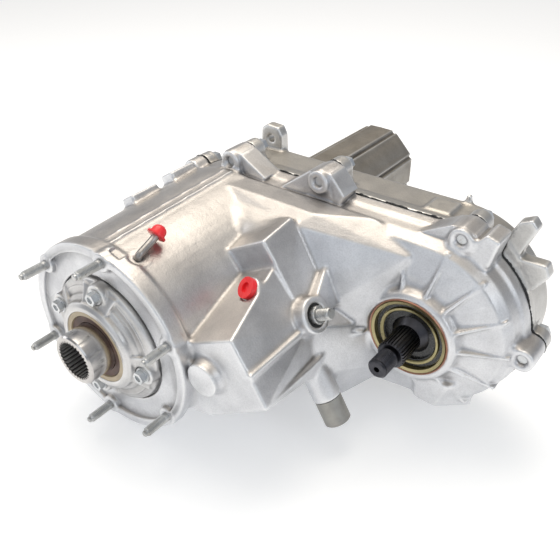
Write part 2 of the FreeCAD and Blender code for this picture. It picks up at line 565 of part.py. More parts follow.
rx.append(feat("rx_ear_hole", Part.makeCylinder(5.0, 30, Vector(-8, 280, 122), YD)))
for k, (bx, bz) in enumerate(BOSSES):
    rx.append(cyl("rx_bolt_hole_%d" % k, D["case_bolt_rad"] + 0.4, D["split_y"] - 1.0, 270.0, bx, bz))
    rx.append(cyl("rx_spot_face_%d" % k, 10.6, 258.0, 276.0, bx, bz))
for k, a in enumerate((20, 92, 164, 236, 308)):
    rx.append(cyl("rx_tail_hole_%d" % k, 4.0, 300.0, 330.0, round(64 * math.cos(math.radians(a)), 4), round(64 * math.sin(math.radians(a)), 4)))
rx.append(cyl("rx_fill_hole", 12.0, 280.0, 320.0, 150.0, 66.0))
rx.append(cyl("rx_drain_hole", 12.0, 280.0, 320.0, 168.0, -62.0))
rx.append(cyl("rx_rail_socket", D["rail_rad"], 280.0, 297.5, round(uv(100, 0, 22).x, 4), round(uv(100, 0, 22).z, 4)))
rear_tools = fuse("rear_case_tools", rx)
node(cut("rear_case_cut", rear_solid, rear_tools), "rear_case")

# ---------------------------------------------------------------- tail housing
th = []
T0, T1, TF = V["tail_face_y"], V["tail_end_y"], V["tail_flat"]


def octo(y, flat, turn=22.5):
    r = flat / math.cos(math.pi / 8)
    ps = [Vector(r * math.cos(math.radians(turn + 45 * k)), y, r * math.sin(math.radians(turn + 45 * k))) for k in range(8)]
    return Part.makePolygon(ps + [ps[0]])


th.append(feat("th_octagon", loft([octo(T0 + 6, TF + 7), octo(T0 + 40, TF + 2.5), octo(T1, TF)])))
th.append(cyl("th_round", 57.0, T0 + 10, T1 - 4))
th.append(cyl("th_flange", 76.0, D["tail_face_y"], D["tail_face_y"] + 11.0))
tx = [cyl("tx_bore", D["tail_bore"], D["tail_face_y"] - 1.0, 500.0),
      cyl("tx_bush_bore", D["yoke_bore"] + 4.0, 495.0, 540.0),
      cyl("tx_seal_bore", D["yoke_bore"] + 12.0, D["tail_seal_y"], 560.0),
      cyl("tx_bearing_lip", D["rear_bearing_od"] - 2.0, 316.0, 322.0)]
for k in range(8):
    a = math.radians(22.5 + 45 * k)
    c, s = math.cos(a), math.sin(a)
    pts = []
    for y in (T0 + 46, T1 + 2):
        for r, w in ((54.5, 1.2), (64, 4.0)):
            for sg in (-1, 1):
                pts.append(Vector(r * c - s * w * sg, y, r * s + c * w * sg))
    tx.append(feat("tx_corner_groove_%d" % k, hull(pts)))
for k, a in enumerate((20, 92, 164, 236, 308)):
    x, z = round(64 * math.cos(math.radians(a)), 4), round(64 * math.sin(math.radians(a)), 4)
    tx.append(cyl("tx_hole_%d" % k, 4.4, 310.0, 340.0, x, z))
    tx.append(cyl("tx_spot_%d" % k, 9.5, D["tail_face_y"] + 11.0, 350.0, x, z))
node(cut("tail_cut", fuse("tail_solid", th), fuse("tail_tools", tx)), "tail_housing")

# ---------------------------------------------------------------- input retainer, seal, bearing, gear
RN = V["retainer_nose_y"]
ret = revolve("retainer_turned", [
    (38.0, 24.6), (38.0, 13.0), (D["input_seal_rad"], 13.0), (D["input_seal_rad"], 0.0), (46.0, 0.0), (50.5, 3.0), (51.5, 8.0),
    (55.0, 9.0), (57.0, 12.6), (68.0, 14.6), (D["retainer_rad"], 17.0), (D["retainer_rad"], 24.6)], (0.0, D["retainer_nose_y"], 0.0))
pads = [ret]
for k, a in enumerate(RET_BOLTS):
    pads.append(cyl("ret_pad_%d" % k, 12.0, -5.5, 8.0, round(61 * math.cos(a), 4), round(61 * math.sin(a), 4)))
    b = a + (0.62 if k in (0, 2) else -0.62)
    pads.append(feat("ret_step_%d" % k, hull([Vector(r * math.cos(t), y, r * math.sin(t)) for t in (a - 0.34, a + 0.34) for r, y in
                                             ((44, -13.4), (44, 5), (58.5, -4.5), (69.5, -1.5), (69.5, 5))])))
rtool = [cyl("ret_bore", D["input_seal_rad"], -20.0, -1.6), cyl("ret_bore_in", 38.0, -20.0, 20.0)]
for k, a in enumerate(RET_BOLTS):
    rtool.append(cyl("ret_hole_%d" % k, 4.4, -10.0, 12.0, round(61 * math.cos(a), 4), round(61 * math.sin(a), 4)))
    rtool.append(cyl("ret_spot_%d" % k, 9.0, -20.0, -5.5, round(61 * math.cos(a), 4), round(61 * math.sin(a), 4)))
node(cut("retainer_cut", fuse("retainer_fuse", pads), fuse("retainer_tools", rtool)), "input_bearing_retainer")
bolts = []
for a in RET_BOLTS:
    p = Vector(61 * math.cos(a), 0, 61 * math.sin(a))
    b = solid_rod(3.95, p + Vector(0, -6, 0), YD, 30).fuse([solid_rod(8.2, p + Vector(0, -7.3, 0), YD, 1.8),
                                                             hexagon(12.0, p + Vector(0, -13.3, 0), YD, 6.2)])
    b = b.cut(Part.makeCylinder(3.6, 2.0, p + Vector(0, -13.6, 0), YD))
    bolts.append(b)
node(feat("retainer_bolt_shape", Part.makeCompound(bolts)), "retainer_bolts")
node(revolve("input_seal_body", [
    (27.55, 7.0), (31.0, 6.0), (31.0, 2.5), (35.0, 2.5), (36.0, 0.0), (D["input_seal_rad"], 0.0), (D["input_seal_rad"], 10.5), (33.0, 10.5), (27.55, 8.2)],
    (0.0, -13.2, 0.0)), "input_seal")
BY, BW = V["input_bearing_y"], V["input_bearing_w"]


def bearing_outer(label, bore, od, y, w, x, z, n, rb):
    rc_ = (bore + od) / 2
    lip = (od - bore) * 0.28
    o = Part.makeCylinder(od, w, Vector(x, y, z), YD).cut(Part.makeCylinder(od - lip, w + 2, Vector(x, y - 1, z), YD))
    o = o.cut(Part.makeTorus(rc_, rb + 0.12, Vector(x, y + w / 2, z), YD))
    return node(feat(label + "_shape", Part.makeCompound([o] + ball_ring(n, rc_, rb, y + w / 2, x, z))), label)


def bearing_inner(label, bore, od, y, w, x, z, rb):
    rc_ = (bore + od) / 2
    lip = (od - bore) * 0.28
    o = Part.makeCylinder(bore + lip, w, Vector(x, y, z), YD).cut(Part.makeCylinder(bore, w + 2, Vector(x, y - 1, z), YD))
    o = o.cut(Part.makeTorus(rc_, rb + 0.12, Vector(x, y + w / 2, z), YD))
    return node(feat(label + "_shape", o), label)


bearing_outer("input_bearing_outer", 30.0, V["input_bearing_od"], BY, BW, 0, 0, 14, 4.6)
bearing_inner("input_bearing_inner", 30.0, V["input_bearing_od"], BY, BW, 0, 0, 4.6)

HT = V["hub_tip_y"]
ig = revolve("input_gear_turned", [
    (D["input_spline_rad"], 0.0), (26.0, 0.0), (D["hub_rad"], 1.5), (D["hub_rad"], 50.0), (D["input_bearing_bore"], 50.0), (D["input_bearing_bore"], 70.0),
    (33.5, 70.0), (33.5, 89.0), (40.5, 89.0), (40.5, 118.6), (31.0, 118.6), (31.0, 123.0), (17.0, 123.0), (17.0, 79.0), (D["input_spline_rad"], 70.0)],
    (0.0, D["hub_tip_y"], 0.0))
GY, GW = V["gear_y"], V["gear_w"]
sun = feat("sun_teeth", involute(50, 1.75, GY, GY + GW, bore=38.0))
hub_teeth = feat("input_spline_grooves", toothed(32, 22.3, 20.2, HT - 1, HT + 66, duty=0.55))
node(cut("input_gear_cut", fuse("input_gear_fuse", [ig, sun]), hub_teeth), "input_gear")
node(ring("pilot_bearing_body", 14.05, 16.9, 52.0, 26.0), "pilot_bearing")

# ---------------------------------------------------------------- planetary low range
node(feat("annulus_shape", involute(86, 1.75, GY - 1, GY + GW + 1, outer=V["annulus_od"], phase=math.pi / 86)), "annulus_gear")
PR = (50 + 18) * 1.75 / 2
PLANETS = [math.radians(45 + 90 * k) for k in range(4)]
for k, a in enumerate(PLANETS):
    # mesh phase: a sun tooth gap faces the planet tooth on the line of centres
    q = (a * 50 / (2 * math.pi)) % 1.0
    ph = math.pi + a + (q - 0.5) * (2 * math.pi / 18)
    g = involute(18, 1.75, GY + 0.5, GY + GW - 0.5, bore=V["pin_rad"] + 0.06, phase=ph, x=PR * math.cos(a), zc=PR * math.sin(a))
    node(feat("planet_shape_%d" % (k + 1), g), "planet_gear_%d" % (k + 1))
car = [Part.makeCylinder(71, 5.8, Vector(0, GY - 6.8, 0), YD).cut(Part.makeCylinder(36, 8, Vector(0, GY - 8, 0), YD)),
       Part.makeCylinder(71, 8, Vector(0, GY + GW + 1, 0), YD).cut(Part.makeCylinder(32, 10, Vector(0, GY + GW, 0), YD))]
for k, a in enumerate(PLANETS):
    car.append(solid_rod(V["pin_rad"], Vector(PR * math.cos(a), GY - 6.8, PR * math.sin(a)), YD, GW + 15.8))
    b = a + math.pi / 4
    car.append(solid_rod(7.0, Vector(59.5 * math.cos(b), GY - 6.8, 59.5 * math.sin(b)), YD, GW + 15.8))
car.append(Part.makeCylinder(56, 12, Vector(0, GY + GW + 8, 0), YD).cut(toothed(48, 47, 44.6, GY + GW + 7, GY + GW + 22)))
node(feat("carrier_shape", car[0].fuse(car[1:])), "planet_carrier")
node(feat("range_sleeve_shape", toothed(48, 46.4, 44.0, 88, 112, bore=32.05).fuse(
    Part.makeCylinder(53, 3.5, Vector(0, 108.5, 0), YD).cut(Part.makeCylinder(32.05, 8, Vector(0, 105, 0), YD))).fuse(
    Part.makeCylinder(53, 4, Vector(0, 119, 0), YD).fuse(Part.makeCylinder(46, 12, Vector(0, 108, 0), YD)).cut(
        Part.makeCylinder(32.05, 20, Vector(0, 106, 0), YD))).cut(Part.makeCylinder(41.5, 29, Vector(0, 92, 0), YD))), "range_sleeve")

# ---------------------------------------------------------------- mainshaft, mode clutch, sprockets, chain
ms = revolve("mainshaft_turned", [
    (0.0, 0.0), (12.0, 0.0), (14.0, 2.0), (14.0, 34.0), (D["main_rad"], 40.0), (D["main_rad"], 47.0), (32.0, 47.0), (32.0, 86.0), (D["main_rad"] + 4.0, 86.0),
    (D["main_rad"] + 4.0, 246.0), (D["rear_bearing_bore"], 246.0), (D["rear_bearing_bore"], 270.0), (D["main_tail_rad"], 274.0), (D["main_tail_rad"], 468.0), (18.5, 470.0), (0.0, 470.0)],
    (0.0, 50.0, 0.0))
grooves = feat("mainshaft_tail_splines", Part.makeCompound([
    hull([Vector(r * math.cos(a) - w * s * math.sin(a), y, r * math.sin(a) + w * s * math.cos(a)) for r, w in ((18.4, 0.7), (21, 1.5)) for s in (-1, 1) for y in (420, 522)])
    for a in [2 * math.pi * k / 26 for k in range(26)]]))
node(cut("mainshaft_cut", ms, grooves), "mainshaft")
PY, PW = V["sprocket_y"], V["sprocket_w"]
node(feat("mode_hub_shape", toothed(36, 40.0, 37.8, 178, 200, bore=22.0)), "mode_hub")
node(feat("mode_sleeve_shape", Part.makeCylinder(45.0, 24, Vector(0, 188, 0), YD).fuse(
    [Part.makeCylinder(52, 2.6, Vector(0, 189.4, 0), YD), Part.makeCylinder(52, 2.6, Vector(0, 200, 0), YD)]).cut(
        toothed(36, 41.2, 38.8, 180, 220, duty=0.62))), "mode_sleeve")
node(feat("drive_sprocket_shape", toothed(42, V["sprocket_tip"], 57.0, PY, PY + PW, duty=0.62, taper=0.5).fuse(
    toothed(36, 40.0, 37.8, 201, PY + 1)).cut(Part.makeCylinder(22.05, 70, Vector(0, 195, 0), YD))), "drive_sprocket")
node(feat("driven_sprocket_shape", toothed(42, V["sprocket_tip"], 57.0, PY, PY + PW, duty=0.62, taper=0.5, x=FX, zc=FZ, phase=math.pi / 42, bore=22.0)),
     "driven_sprocket")
CT = V["chain_thick"]
outer = Part.Face(stadium(PY + 2, V["sprocket_tip"] + 0.4 + CT, V["sprocket_tip"] + 0.4 + CT)).extrude(Vector(0, PW - 4, 0))
inner = Part.Face(stadium(PY, V["sprocket_tip"] + 0.4, V["sprocket_tip"] + 0.4)).extrude(Vector(0, PW, 0))
chain = outer.cut(inner)
for q in (PY + 9, PY + 16.5, PY + 24):
    chain = chain.cut(Part.Face(stadium(q, 80, 80)).extrude(Vector(0, 1.2, 0)).cut(
        Part.Face(stadium(q - 1, V["sprocket_tip"] + 0.4 + CT - 2.5, V["sprocket_tip"] + 0.4 + CT - 2.5)).extrude(Vector(0, 4, 0))))
node(feat("chain_shape", chain), "drive_chain")

# ---------------------------------------------------------------- front output
fo = revolve("front_output_turned", [
    (0.0, 8.0), (3.0, 6.0), (3.0, 0.0), (D["fo_thread_rad"] - 1.5, 0.0), (D["fo_thread_rad"], 1.5), (D["fo_thread_rad"], 22.0), (8.6, 23.0), (8.6, 25.0), (13.0, 25.0),
    (D["fo_spline_rad"], 27.0), (D["fo_spline_rad"], 60.0), (21.0, 67.0), (D["fo_bearing_bore"], 70.0), (D["fo_bearing_bore"], 152.0), (18.0, 152.0), (18.0, 183.0), (0.0, 183.0)],
    (D["out_x"], D["fo_tip_y"], D["out_z"]))
sg = Part.makeCompound([
    hull([Vector(FX + r * math.cos(a) - w * s * math.sin(a), y, FZ + r * math.sin(a) + w * s * math.cos(a)) for r, w in ((13.3, 0.45), (15.6, 0.95)) for s in (-1, 1)
          for y in (140, 176)]) for a in [2 * math.pi * k / 28 for k in range(28)]])
node(cut("front_output_cut", fo, feat("front_output_splines", sg)), "front_output_shaft")
OY, OW = V["fo_bearing_y"], V["fo_bearing_w"]
bearing_outer("front_output_bearing_outer", V["fo_bearing_bore"], V["fo_bearing_od"], OY, OW, FX, FZ, 12, 5.4)
bearing_inner("front_output_bearing_inner", V["fo_bearing_bore"], V["fo_bearing_od"], OY, OW, FX, FZ, 5.4)
node(revolve("front_output_seal_body", [
    (22.0 + 0.6, 10.0), (28.6, 9.6), (29.4, 4.4), (30.4, 3.2), (32.6, 3.2), (33.2, 6.4), (37.6, 6.4), (38.4, 1.4), (41.6, 0.6), (42.2, 2.4), (D["fo_bearing_od"], 2.6), (D["fo_bearing_od"], 11.0), (22.0 + 0.6, 11.0)],
    (D["out_x"], D["fo_seal_y"], D["out_z"])), "front_output_seal")
node(revolve("front_seal_lip_body", [(42.3, 1.0), (D["fo_seal_rad"] - 0.6, 0.0), (D["fo_seal_rad"], 1.2), (D["fo_seal_rad"] + 0.2, 2.95), (42.3, 2.95)],
             (D["out_x"], D["fo_seal_y"], D["out_z"])), "front_seal_dust_lip")
snap = Part.makeCylinder(41.0, 1.8, Vector(FX, OY + OW + 0.1, FZ), YD).cut(Part.makeCylinder(37.5, 4, Vector(FX, OY + OW - 1, FZ), YD)).cut(
    Part.makeBox(10, 6, 20, Vector(FX - 5, OY + OW - 1, FZ + 30)))
node(feat("snap_ring_shape", snap), "bearing_snap_ring")
node(ring("front_output_rear_bearing_body", 18.05, 26.0, 282.0, 19.0, D["out_x"], D["out_z"]), "front_output_rear_bearing")

# ---------------------------------------------------------------- rear bearing, pump, tail
RY, RW = V["rear_bearing_y"], V["rear_bearing_w"]
bearing_outer("rear_output_bearing_outer", V["rear_bearing_bore"], V["rear_bearing_od"], RY, RW, 0, 0, 11, 6.0)
bearing_inner("rear_output_bearing_inner", V["rear_bearing_bore"], V["rear_bearing_od"], RY, RW, 0, 0, 6.0)
pump = Part.makeCylinder(46, 16, Vector(0, 264, 0), YD).fuse([Part.makeBox(14, 12, 40, Vector(-7, 266, -76)), Part.makeBox(12, 10, 46, Vector(-6, 267, 40))])
pump = pump.cut(Part.makeCylinder(32, 11, Vector(0, 266.5, 0), YD)).cut(Part.makeCylinder(23, 30, Vector(0, 260, 0), YD)).cut(
    Part.makeCylinder(5, 30, Vector(0, 272, -80), Vector(0, 0, 1)))
node(feat("pump_shape", pump), "oil_pump_housing")
node(feat("pump_rotor_shape", toothed(9, 31.2, 27.0, 267, 277, bore=22.0, duty=0.7)), "oil_pump_rotor")
tube = Part.makeCylinder(4.9, 16, Vector(0, 272, -84), Vector(0, 0, 1)).cut(Part.makeCylinder(3.6, 18, Vector(0, 272, -85), Vector(0, 0, 1)))
node(feat("pickup_tube_shape", tube), "oil_pickup_tube")
screen = Part.makeBox(40, 18, 6, Vector(-20, 263, -90)).cut(Part.makeCylinder(3.6, 10, Vector(0, 272, -88), Vector(0, 0, 1)))
node(feat("pickup_screen_shape", screen), "oil_pickup_screen")
node(feat("magnet_shape", Part.makeBox(26, 14, 5, Vector(120, 262, -88))), "case_magnet")
node(ring("speedo_gear_body", 20.05, 30.0, 345.0, 22.0), "speedometer_drive_gear")
node(ring("tail_bushing_body", D["yoke_bore"], D["yoke_bore"] + 4.0, 500.0, 36.0), "tail_bushing")
node(revolve("rear_seal_body", [(31.0, 4.0), (33.0, 0.02), (D["yoke_bore"] + 11.98, 0.02), (D["yoke_bore"] + 11.98, 14.0), (45.0, 14.1), (45.0, 16.0), (38.0, 16.0), (37.0, 8.0), (31.0, 7.0)],
             (0.0, D["tail_seal_y"], 0.0)), "rear_output_seal")

# ---------------------------------------------------------------- shift mechanism
SU, SV_, SYY = V["sector_across"], V["shift_down"], V["shift_y"]


def sector_pt(y, v, u):
    return uv(u, SYY + y, SV_ + v)


fan = []
for t in range(-34, 35, 4):
    a = math.radians(t)
    rr = 38.0 + (0.8 if (t // 4) % 2 else 0.0)
    fan.append((rr * math.sin(a), rr * math.cos(a)))
outline = [(-15, -6)] + [(-15 * math.cos(math.radians(t)), -15 * math.sin(math.radians(t))) for t in range(30, 151, 20)] + [(15, -6)] + list(reversed(fan))
ps = [sector_pt(y, v, SU - 3) for y, v in outline]
plate = Part.Face(Part.makePolygon(ps + [ps[0]])).extrude(U * 6)
shaft = solid_rod(V["shift_rad"], uv(SU - 14, SYY, SV_), U, 179.0 - (SU - 14)).fuse([solid_rod(6.0, uv(178.0, SYY, SV_), U, 16.0)])
node(feat("sector_shape", plate.fuse([shaft, solid_rod(13, uv(SU - 8, SYY, SV_), U, 16)])), "shift_sector")
seal_ring = Part.makeCylinder(11.9, 4.0, uv(174.2, SYY, SV_), U).cut(Part.makeCylinder(6.58, 6, uv(173, SYY, SV_), U))
seal_ring = seal_ring.cut(Part.makeCylinder(10.2, 3, uv(177.2, SYY, SV_), U).cut(Part.makeCylinder(8.4, 3, uv(177.2, SYY, SV_), U)))
node(feat("shift_seal_shape", seal_ring), "shift_shaft_seal")
DU, DY = V["detent_across"], V["detent_y"]
pop = solid_rod(7.0, uv(DU, DY, 98), W, 18).fuse(Part.makeCone(2.0, 6.8, 4.2, uv(DU, DY, 94), W))
node(feat("poppet_shape", pop), "detent_poppet")
turns = []
helix = Part.makeHelix(3.4, 17.0, 4.9)
prof = Part.Wire([Part.Circle(Vector(4.9, 0, 0), Vector(0, 1, 0), 0.9).toShape()])
coil = Part.Wire(helix).makePipeShell([prof], True, True)
coil.Placement = Placement(uv(DU, DY, 120.6), to_dir(W))
node(feat("detent_spring_shape", coil), "detent_spring")
plug = solid_rod(9.95, uv(DU, DY, 139.5), W, 12).fuse([solid_rod(14.5, uv(DU, DY, 150.05), W, 30)])
plug = plug.makeChamfer(1.6, [e for e in plug.Edges if abs(e.BoundBox.DiagonalLength - 2 * 14.5 * 1.2) < 12 and abs((e.CenterOfMass - uv(DU, DY, 180.05)).Length) < 0.5])
node(feat("detent_plug_shape", plug), "detent_plug")

RU, RV_ = V["rail_across"], V["rail_down"]
rp = uv(RU, 46, RV_)
node(cyl("shift_rail_cylinder", D["rail_rad"] - 0.05, 46.0, 297.0, round(rp.x, 4), round(rp.z, 4)), "shift_rail")


def fork(label, y, w, hub_r, groove_r, arm):
    """Fork: hub on the rail, arm and half ring that rides in a sleeve groove."""
    c = Vector(rp.x, 0, rp.z)
    d = Vector(-rp.x, 0, -rp.z)
    dist = d.Length
    d.normalize()
    n = Vector(-d.z, 0, d.x)
    hub = solid_rod(11.0, c + Vector(0, y - 9, 0), YD, 18 + w)
    ringp = Part.makeCylinder(hub_r, w, Vector(0, y, 0), YD).cut(Part.makeCylinder(groove_r, w + 2, Vector(0, y - 1, 0), YD))
    keep = hull([Vector(p.x, yy, p.z) for p in (d * -70 + n * 70, d * -70 - n * 70, d * 6 + n * 70, d * 6 - n * 70) for yy in (y - 2, y + w + 2)])
    ringp = ringp.common(keep)
    armb = hull([c + d * a_ + n * s + Vector(0, yy, 0) for a_, b_ in ((0, 9), (dist - groove_r - 3, 15)) for s in (-b_, b_) for yy in (y, y + w)])
    s = hub.fuse([armb, ringp]).cut(solid_rod(V["rail_rad"], c + Vector(0, y - 20, 0), YD, 60))
    s = s.cut(Part.makeCylinder(groove_r, w + 2, Vector(0, y - 1, 0), YD))
    return node(feat(label + "_shape", s), label)


fork("range_fork", 112.8, 5.4, 60.0, 46.6, 0)
fork("mode_fork", 193.0, 6.0, 60.0, 47.1, 0)

# ---------------------------------------------------------------- fasteners and fittings
studs = []
for a in STUDS:
    p = Vector(SR * math.cos(a), 0, SR * math.sin(a))
    s = Part.makeCylinder(V["stud_rad"] - 0.02, 26.4, p + Vector(0, -26.4, 0), YD).fuse([Part.makeCylinder(V["stud_rad"] - 0.12, 20.6, p + Vector(0, -1.0, 0), YD)])
    s = s.fuse([Part.makeCone(3.2, V["stud_rad"] - 0.02, 1.6, p + Vector(0, -28.0, 0), YD), Part.makeCylinder(3.2, 2.6, p + Vector(0, -30.4, 0), YD)])
    studs.append(s)
node(feat("stud_shape", Part.makeCompound(studs)), "adapter_studs")
cb = []
for bx, bz in BOSSES:
    p = Vector(bx, 0, bz)
    s = solid_rod(4.9, p + Vector(0, 211, 0), YD, 48).fuse([solid_rod(9.5, p + Vector(0, 258.02, 0), YD, 2.2), hexagon(14.0, p + Vector(0, 260, 0), YD, 8.0)])
    cb.append(s)
node(feat("case_bolt_shape", Part.makeCompound(cb)), "case_bolts")
tb = []
for a in (20, 92, 164, 236, 308):
    p = Vector(64 * math.cos(math.radians(a)), 0, 64 * math.sin(math.radians(a)))
    tb.append(solid_rod(3.9, p + Vector(0, 304, 0), YD, 26).fuse([solid_rod(8.0, p + Vector(0, 329.02, 0), YD, 2.0), hexagon(12.0, p + Vector(0, 331, 0), YD, 7.0)]))
node(feat("tail_bolt_shape", Part.makeCompound(tb)), "tail_bolts")


def plug_shape(x, z):
    s = solid_rod(11.9, Vector(x, 298, z), YD, 14.2).fuse([solid_rod(16.0, Vector(x, 312.05, z), YD, 3.0), hexagon(22.0, Vector(x, 315, z), YD, 7.0)])
    return s


node(feat("fill_plug_shape", plug_shape(150, 66)), "fill_plug")
node(feat("drain_plug_shape", plug_shape(168, -62)), "drain_plug")
rpt = PORT + PORT_AXIS * 12.55
pp = Part.makeCylinder(7.9, 10, PORT + PORT_AXIS * 3, PORT_AXIS).fuse([Part.makeCylinder(10.8, 5.5, rpt, PORT_AXIS)])
pp = pp.cut(Part.makeCylinder(5.2, 4.0, rpt + PORT_AXIS * 2.6, PORT_AXIS))
node(feat("port_plug_shape", pp), "port_plug")

# vent: steel tube pressed into the case, bent towards the tail and up, with a pushed-on cap
VA = Vector(31, 28, 84) + Vector(0.35, 0, 0.94) * 12
VN = Vector(0.35, 0, 0.94)
VN.normalize()


def tube_path(points, fractions):
    edges = []
    prev = points[0]
    for i in range(1, len(points) - 1):
        a, b, c = points[i - 1], points[i], points[i + 1]
        d1 = (a - b)
        d2 = (c - b)
        L1, L2 = d1.Length, d2.Length
        d1.normalize()
        d2.normalize()
        cut_len = min(L1, L2) * fractions
        p, q = b + d1 * cut_len, b + d2 * cut_len
        half = d1.getAngle(d2) / 2
        r = cut_len * math.tan(half)
        bis = d1 + d2
        bis.normalize()
        centre = b + bis * (r / math.sin(half))
        mid = centre - bis * r
        if (p - prev).Length > 1e-6:
            edges.append(Part.LineSegment(prev, p).toShape())
        edges.append(Part.Arc(p, mid, q).toShape())
        prev = q
    edges.append(Part.LineSegment(prev, points[-1]).toShape())
    return Part.Wire(edges)


VENT = [VA, VA + VN * 8, VA + Vector(2, 20, 14.5), VA + Vector(2, 31, 21)]
path = tube_path(VENT, 0.44)
t0 = (VENT[1] - VENT[0])
t0.normalize()
circle = Part.Wire([Part.Circle(VENT[0], t0, 3.95).toShape()])
vt = path.makePipeShell([circle], True, False)
node(feat("vent_tube_shape", vt), "vent_tube")
vd = VENT[-1] - VENT[-2]
vd.normalize()
cap = Part.makeCylinder(8.0, 10, VENT[-1] - vd * 9, vd).fuse(
    [Part.makeCylinder(10.4, 2.4, VENT[-1] - vd * 9, vd), Part.makeSphere(8.0, VENT[-1] + vd * 1.0)])
cap = cap.cut(Part.makeCylinder(4.0, 9.1, VENT[-1] - vd * 9.1, vd))
node(feat("vent_cap_shape", cap), "vent_cap")

# ---------------------------------------------------------------- check and write
doc.recompute()
bad = []
for o in doc.Objects:
    st = [q for q in o.State if q in ("Invalid", "Error")]
    if st:
        bad.append((o.Name, st))
for o in NODES:
    s = o.Shape
    if s.isNull() or not s.isValid() or not s.Solids:
        bad.append((o.Label, "null or not valid"))
    elif min(q.Volume for q in s.Solids) <= 0:
        bad.append((o.Label, "volume"))
if bad:
    raise RuntimeError("failed objects: %s" % bad)
os.makedirs("parts", exist_ok=True)
names = set()
for o in NODES:
    assert o.Label not in names and len(o.Label) < 60, o.Label
    names.add(o.Label)
    o.Shape.exportStep("parts/%s.step" % o.Label)
    print("%-28s solids %2d volume %.0f" % (o.Label, len(o.Shape.Solids), o.Shape.Volume))
print(len(NODES), "nodes")
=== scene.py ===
import json
import math

import bpy
import numpy as np
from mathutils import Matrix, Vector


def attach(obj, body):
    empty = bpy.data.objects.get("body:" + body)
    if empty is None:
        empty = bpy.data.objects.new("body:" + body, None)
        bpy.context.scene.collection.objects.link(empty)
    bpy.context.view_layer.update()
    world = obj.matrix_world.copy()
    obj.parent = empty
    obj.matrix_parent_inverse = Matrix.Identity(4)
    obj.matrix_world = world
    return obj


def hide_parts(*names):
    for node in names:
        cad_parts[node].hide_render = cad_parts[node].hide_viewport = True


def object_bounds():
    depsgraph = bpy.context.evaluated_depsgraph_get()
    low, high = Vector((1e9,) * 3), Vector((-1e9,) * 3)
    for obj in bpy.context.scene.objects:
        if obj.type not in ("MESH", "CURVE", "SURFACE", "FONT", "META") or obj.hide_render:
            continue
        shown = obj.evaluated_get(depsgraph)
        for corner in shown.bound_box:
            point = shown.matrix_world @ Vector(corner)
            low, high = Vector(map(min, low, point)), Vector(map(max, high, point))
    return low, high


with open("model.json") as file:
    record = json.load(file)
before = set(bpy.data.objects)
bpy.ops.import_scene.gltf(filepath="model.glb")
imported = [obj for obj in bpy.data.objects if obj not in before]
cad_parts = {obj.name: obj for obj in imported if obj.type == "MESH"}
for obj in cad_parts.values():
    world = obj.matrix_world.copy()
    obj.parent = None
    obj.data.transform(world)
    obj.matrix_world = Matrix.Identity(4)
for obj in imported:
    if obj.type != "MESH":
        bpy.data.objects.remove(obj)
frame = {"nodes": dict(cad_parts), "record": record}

import openvdb as vdb
from mathutils import Matrix, Vector

N = frame["nodes"]
cad_box = [[round(float(c), 5) for c in corner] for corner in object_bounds()]
H = 1.3          # voxel of the casting fields, mm
scene = bpy.context.scene
scene.view_settings.view_transform = "Standard"

# ------------------------------------------------------------------ camera
CAM = Vector((0.4799, -0.3254, 0.4452))
right = Vector((0.803, 0.596, 0.0)).normalized()
ahead = Vector((-0.4925, 0.6632, -0.5635)).normalized()
up = right.cross(ahead).normalized()
ahead = up.cross(right).normalized()
cam_data = bpy.data.cameras.new("camera")
cam_data.sensor_width = 36.0
cam_data.lens = 44.07
cam_data.shift_x = -0.0214
cam_data.shift_y = 0.0045
cam_data.clip_start = 0.01
camera = bpy.data.objects.new("camera", cam_data)
scene.collection.objects.link(camera)
rot = Matrix((right, up, -ahead)).transposed()
camera.matrix_world = Matrix.Translation(CAM) @ rot.to_4x4()
scene.camera = camera


# ------------------------------------------------------------------ materials
def new_mat(name):
    m = bpy.data.materials.new(name)
    m.use_nodes = True
    nt = m.node_tree
    nt.nodes.clear()
    out = nt.nodes.new("ShaderNodeOutputMaterial")
    bsdf = nt.nodes.new("ShaderNodeBsdfPrincipled")
    nt.links.new(bsdf.outputs[0], out.inputs[0])
    return m, nt, bsdf


def node(nt, kind, **sets):
    n = nt.nodes.new(kind)
    for k, v in sets.items():
        if k.startswith("in_"):
            key = k[3:]
            n.inputs[int(key) if key.isdigit() else key.replace("_", " ")].default_value = v
        else:
            setattr(n, k, v)
    return n


def coords(nt):
    return node(nt, "ShaderNodeTexCoord").outputs["Object"]


def noise(nt, vec, scale, detail=3.0, rough=0.55, distortion=0.0):
    n = node(nt, "ShaderNodeTexNoise")
    n.inputs["Scale"].default_value = scale
    n.inputs["Detail"].default_value = detail
    n.inputs["Roughness"].default_value = rough
    n.inputs["Distortion"].default_value = distortion
    nt.links.new(vec, n.inputs["Vector"])
    return n.outputs[0]


def ramp(nt, fac, stops):
    r = node(nt, "ShaderNodeValToRGB")
    el = r.color_ramp.elements
    while len(el) < len(stops):
        el.new(0.5)
    for e, (p, c) in zip(el, stops):
        e.position = p
        e.color = (c[0], c[1], c[2], 1.0) if isinstance(c, (tuple, list)) else (c, c, c, 1.0)
    nt.links.new(fac, r.inputs[0])
    return r.outputs[0]


def mix(nt, fac, a, b, blend="MIX"):
    m = node(nt, "ShaderNodeMix", data_type="RGBA", blend_type=blend)
    if isinstance(fac, float):
        m.inputs["Factor"].default_value = fac
    else:
        nt.links.new(fac, m.inputs["Factor"])
    for s, v in (("A", a), ("B", b)):
        sock = [i for i in m.inputs if i.name == s and i.type == "RGBA"][0]
        if isinstance(v, tuple):
            sock.default_value = (v[0], v[1], v[2], 1.0)
        else:
            nt.links.new(v, sock)
    return [o for o in m.outputs if o.type == "RGBA"][0]


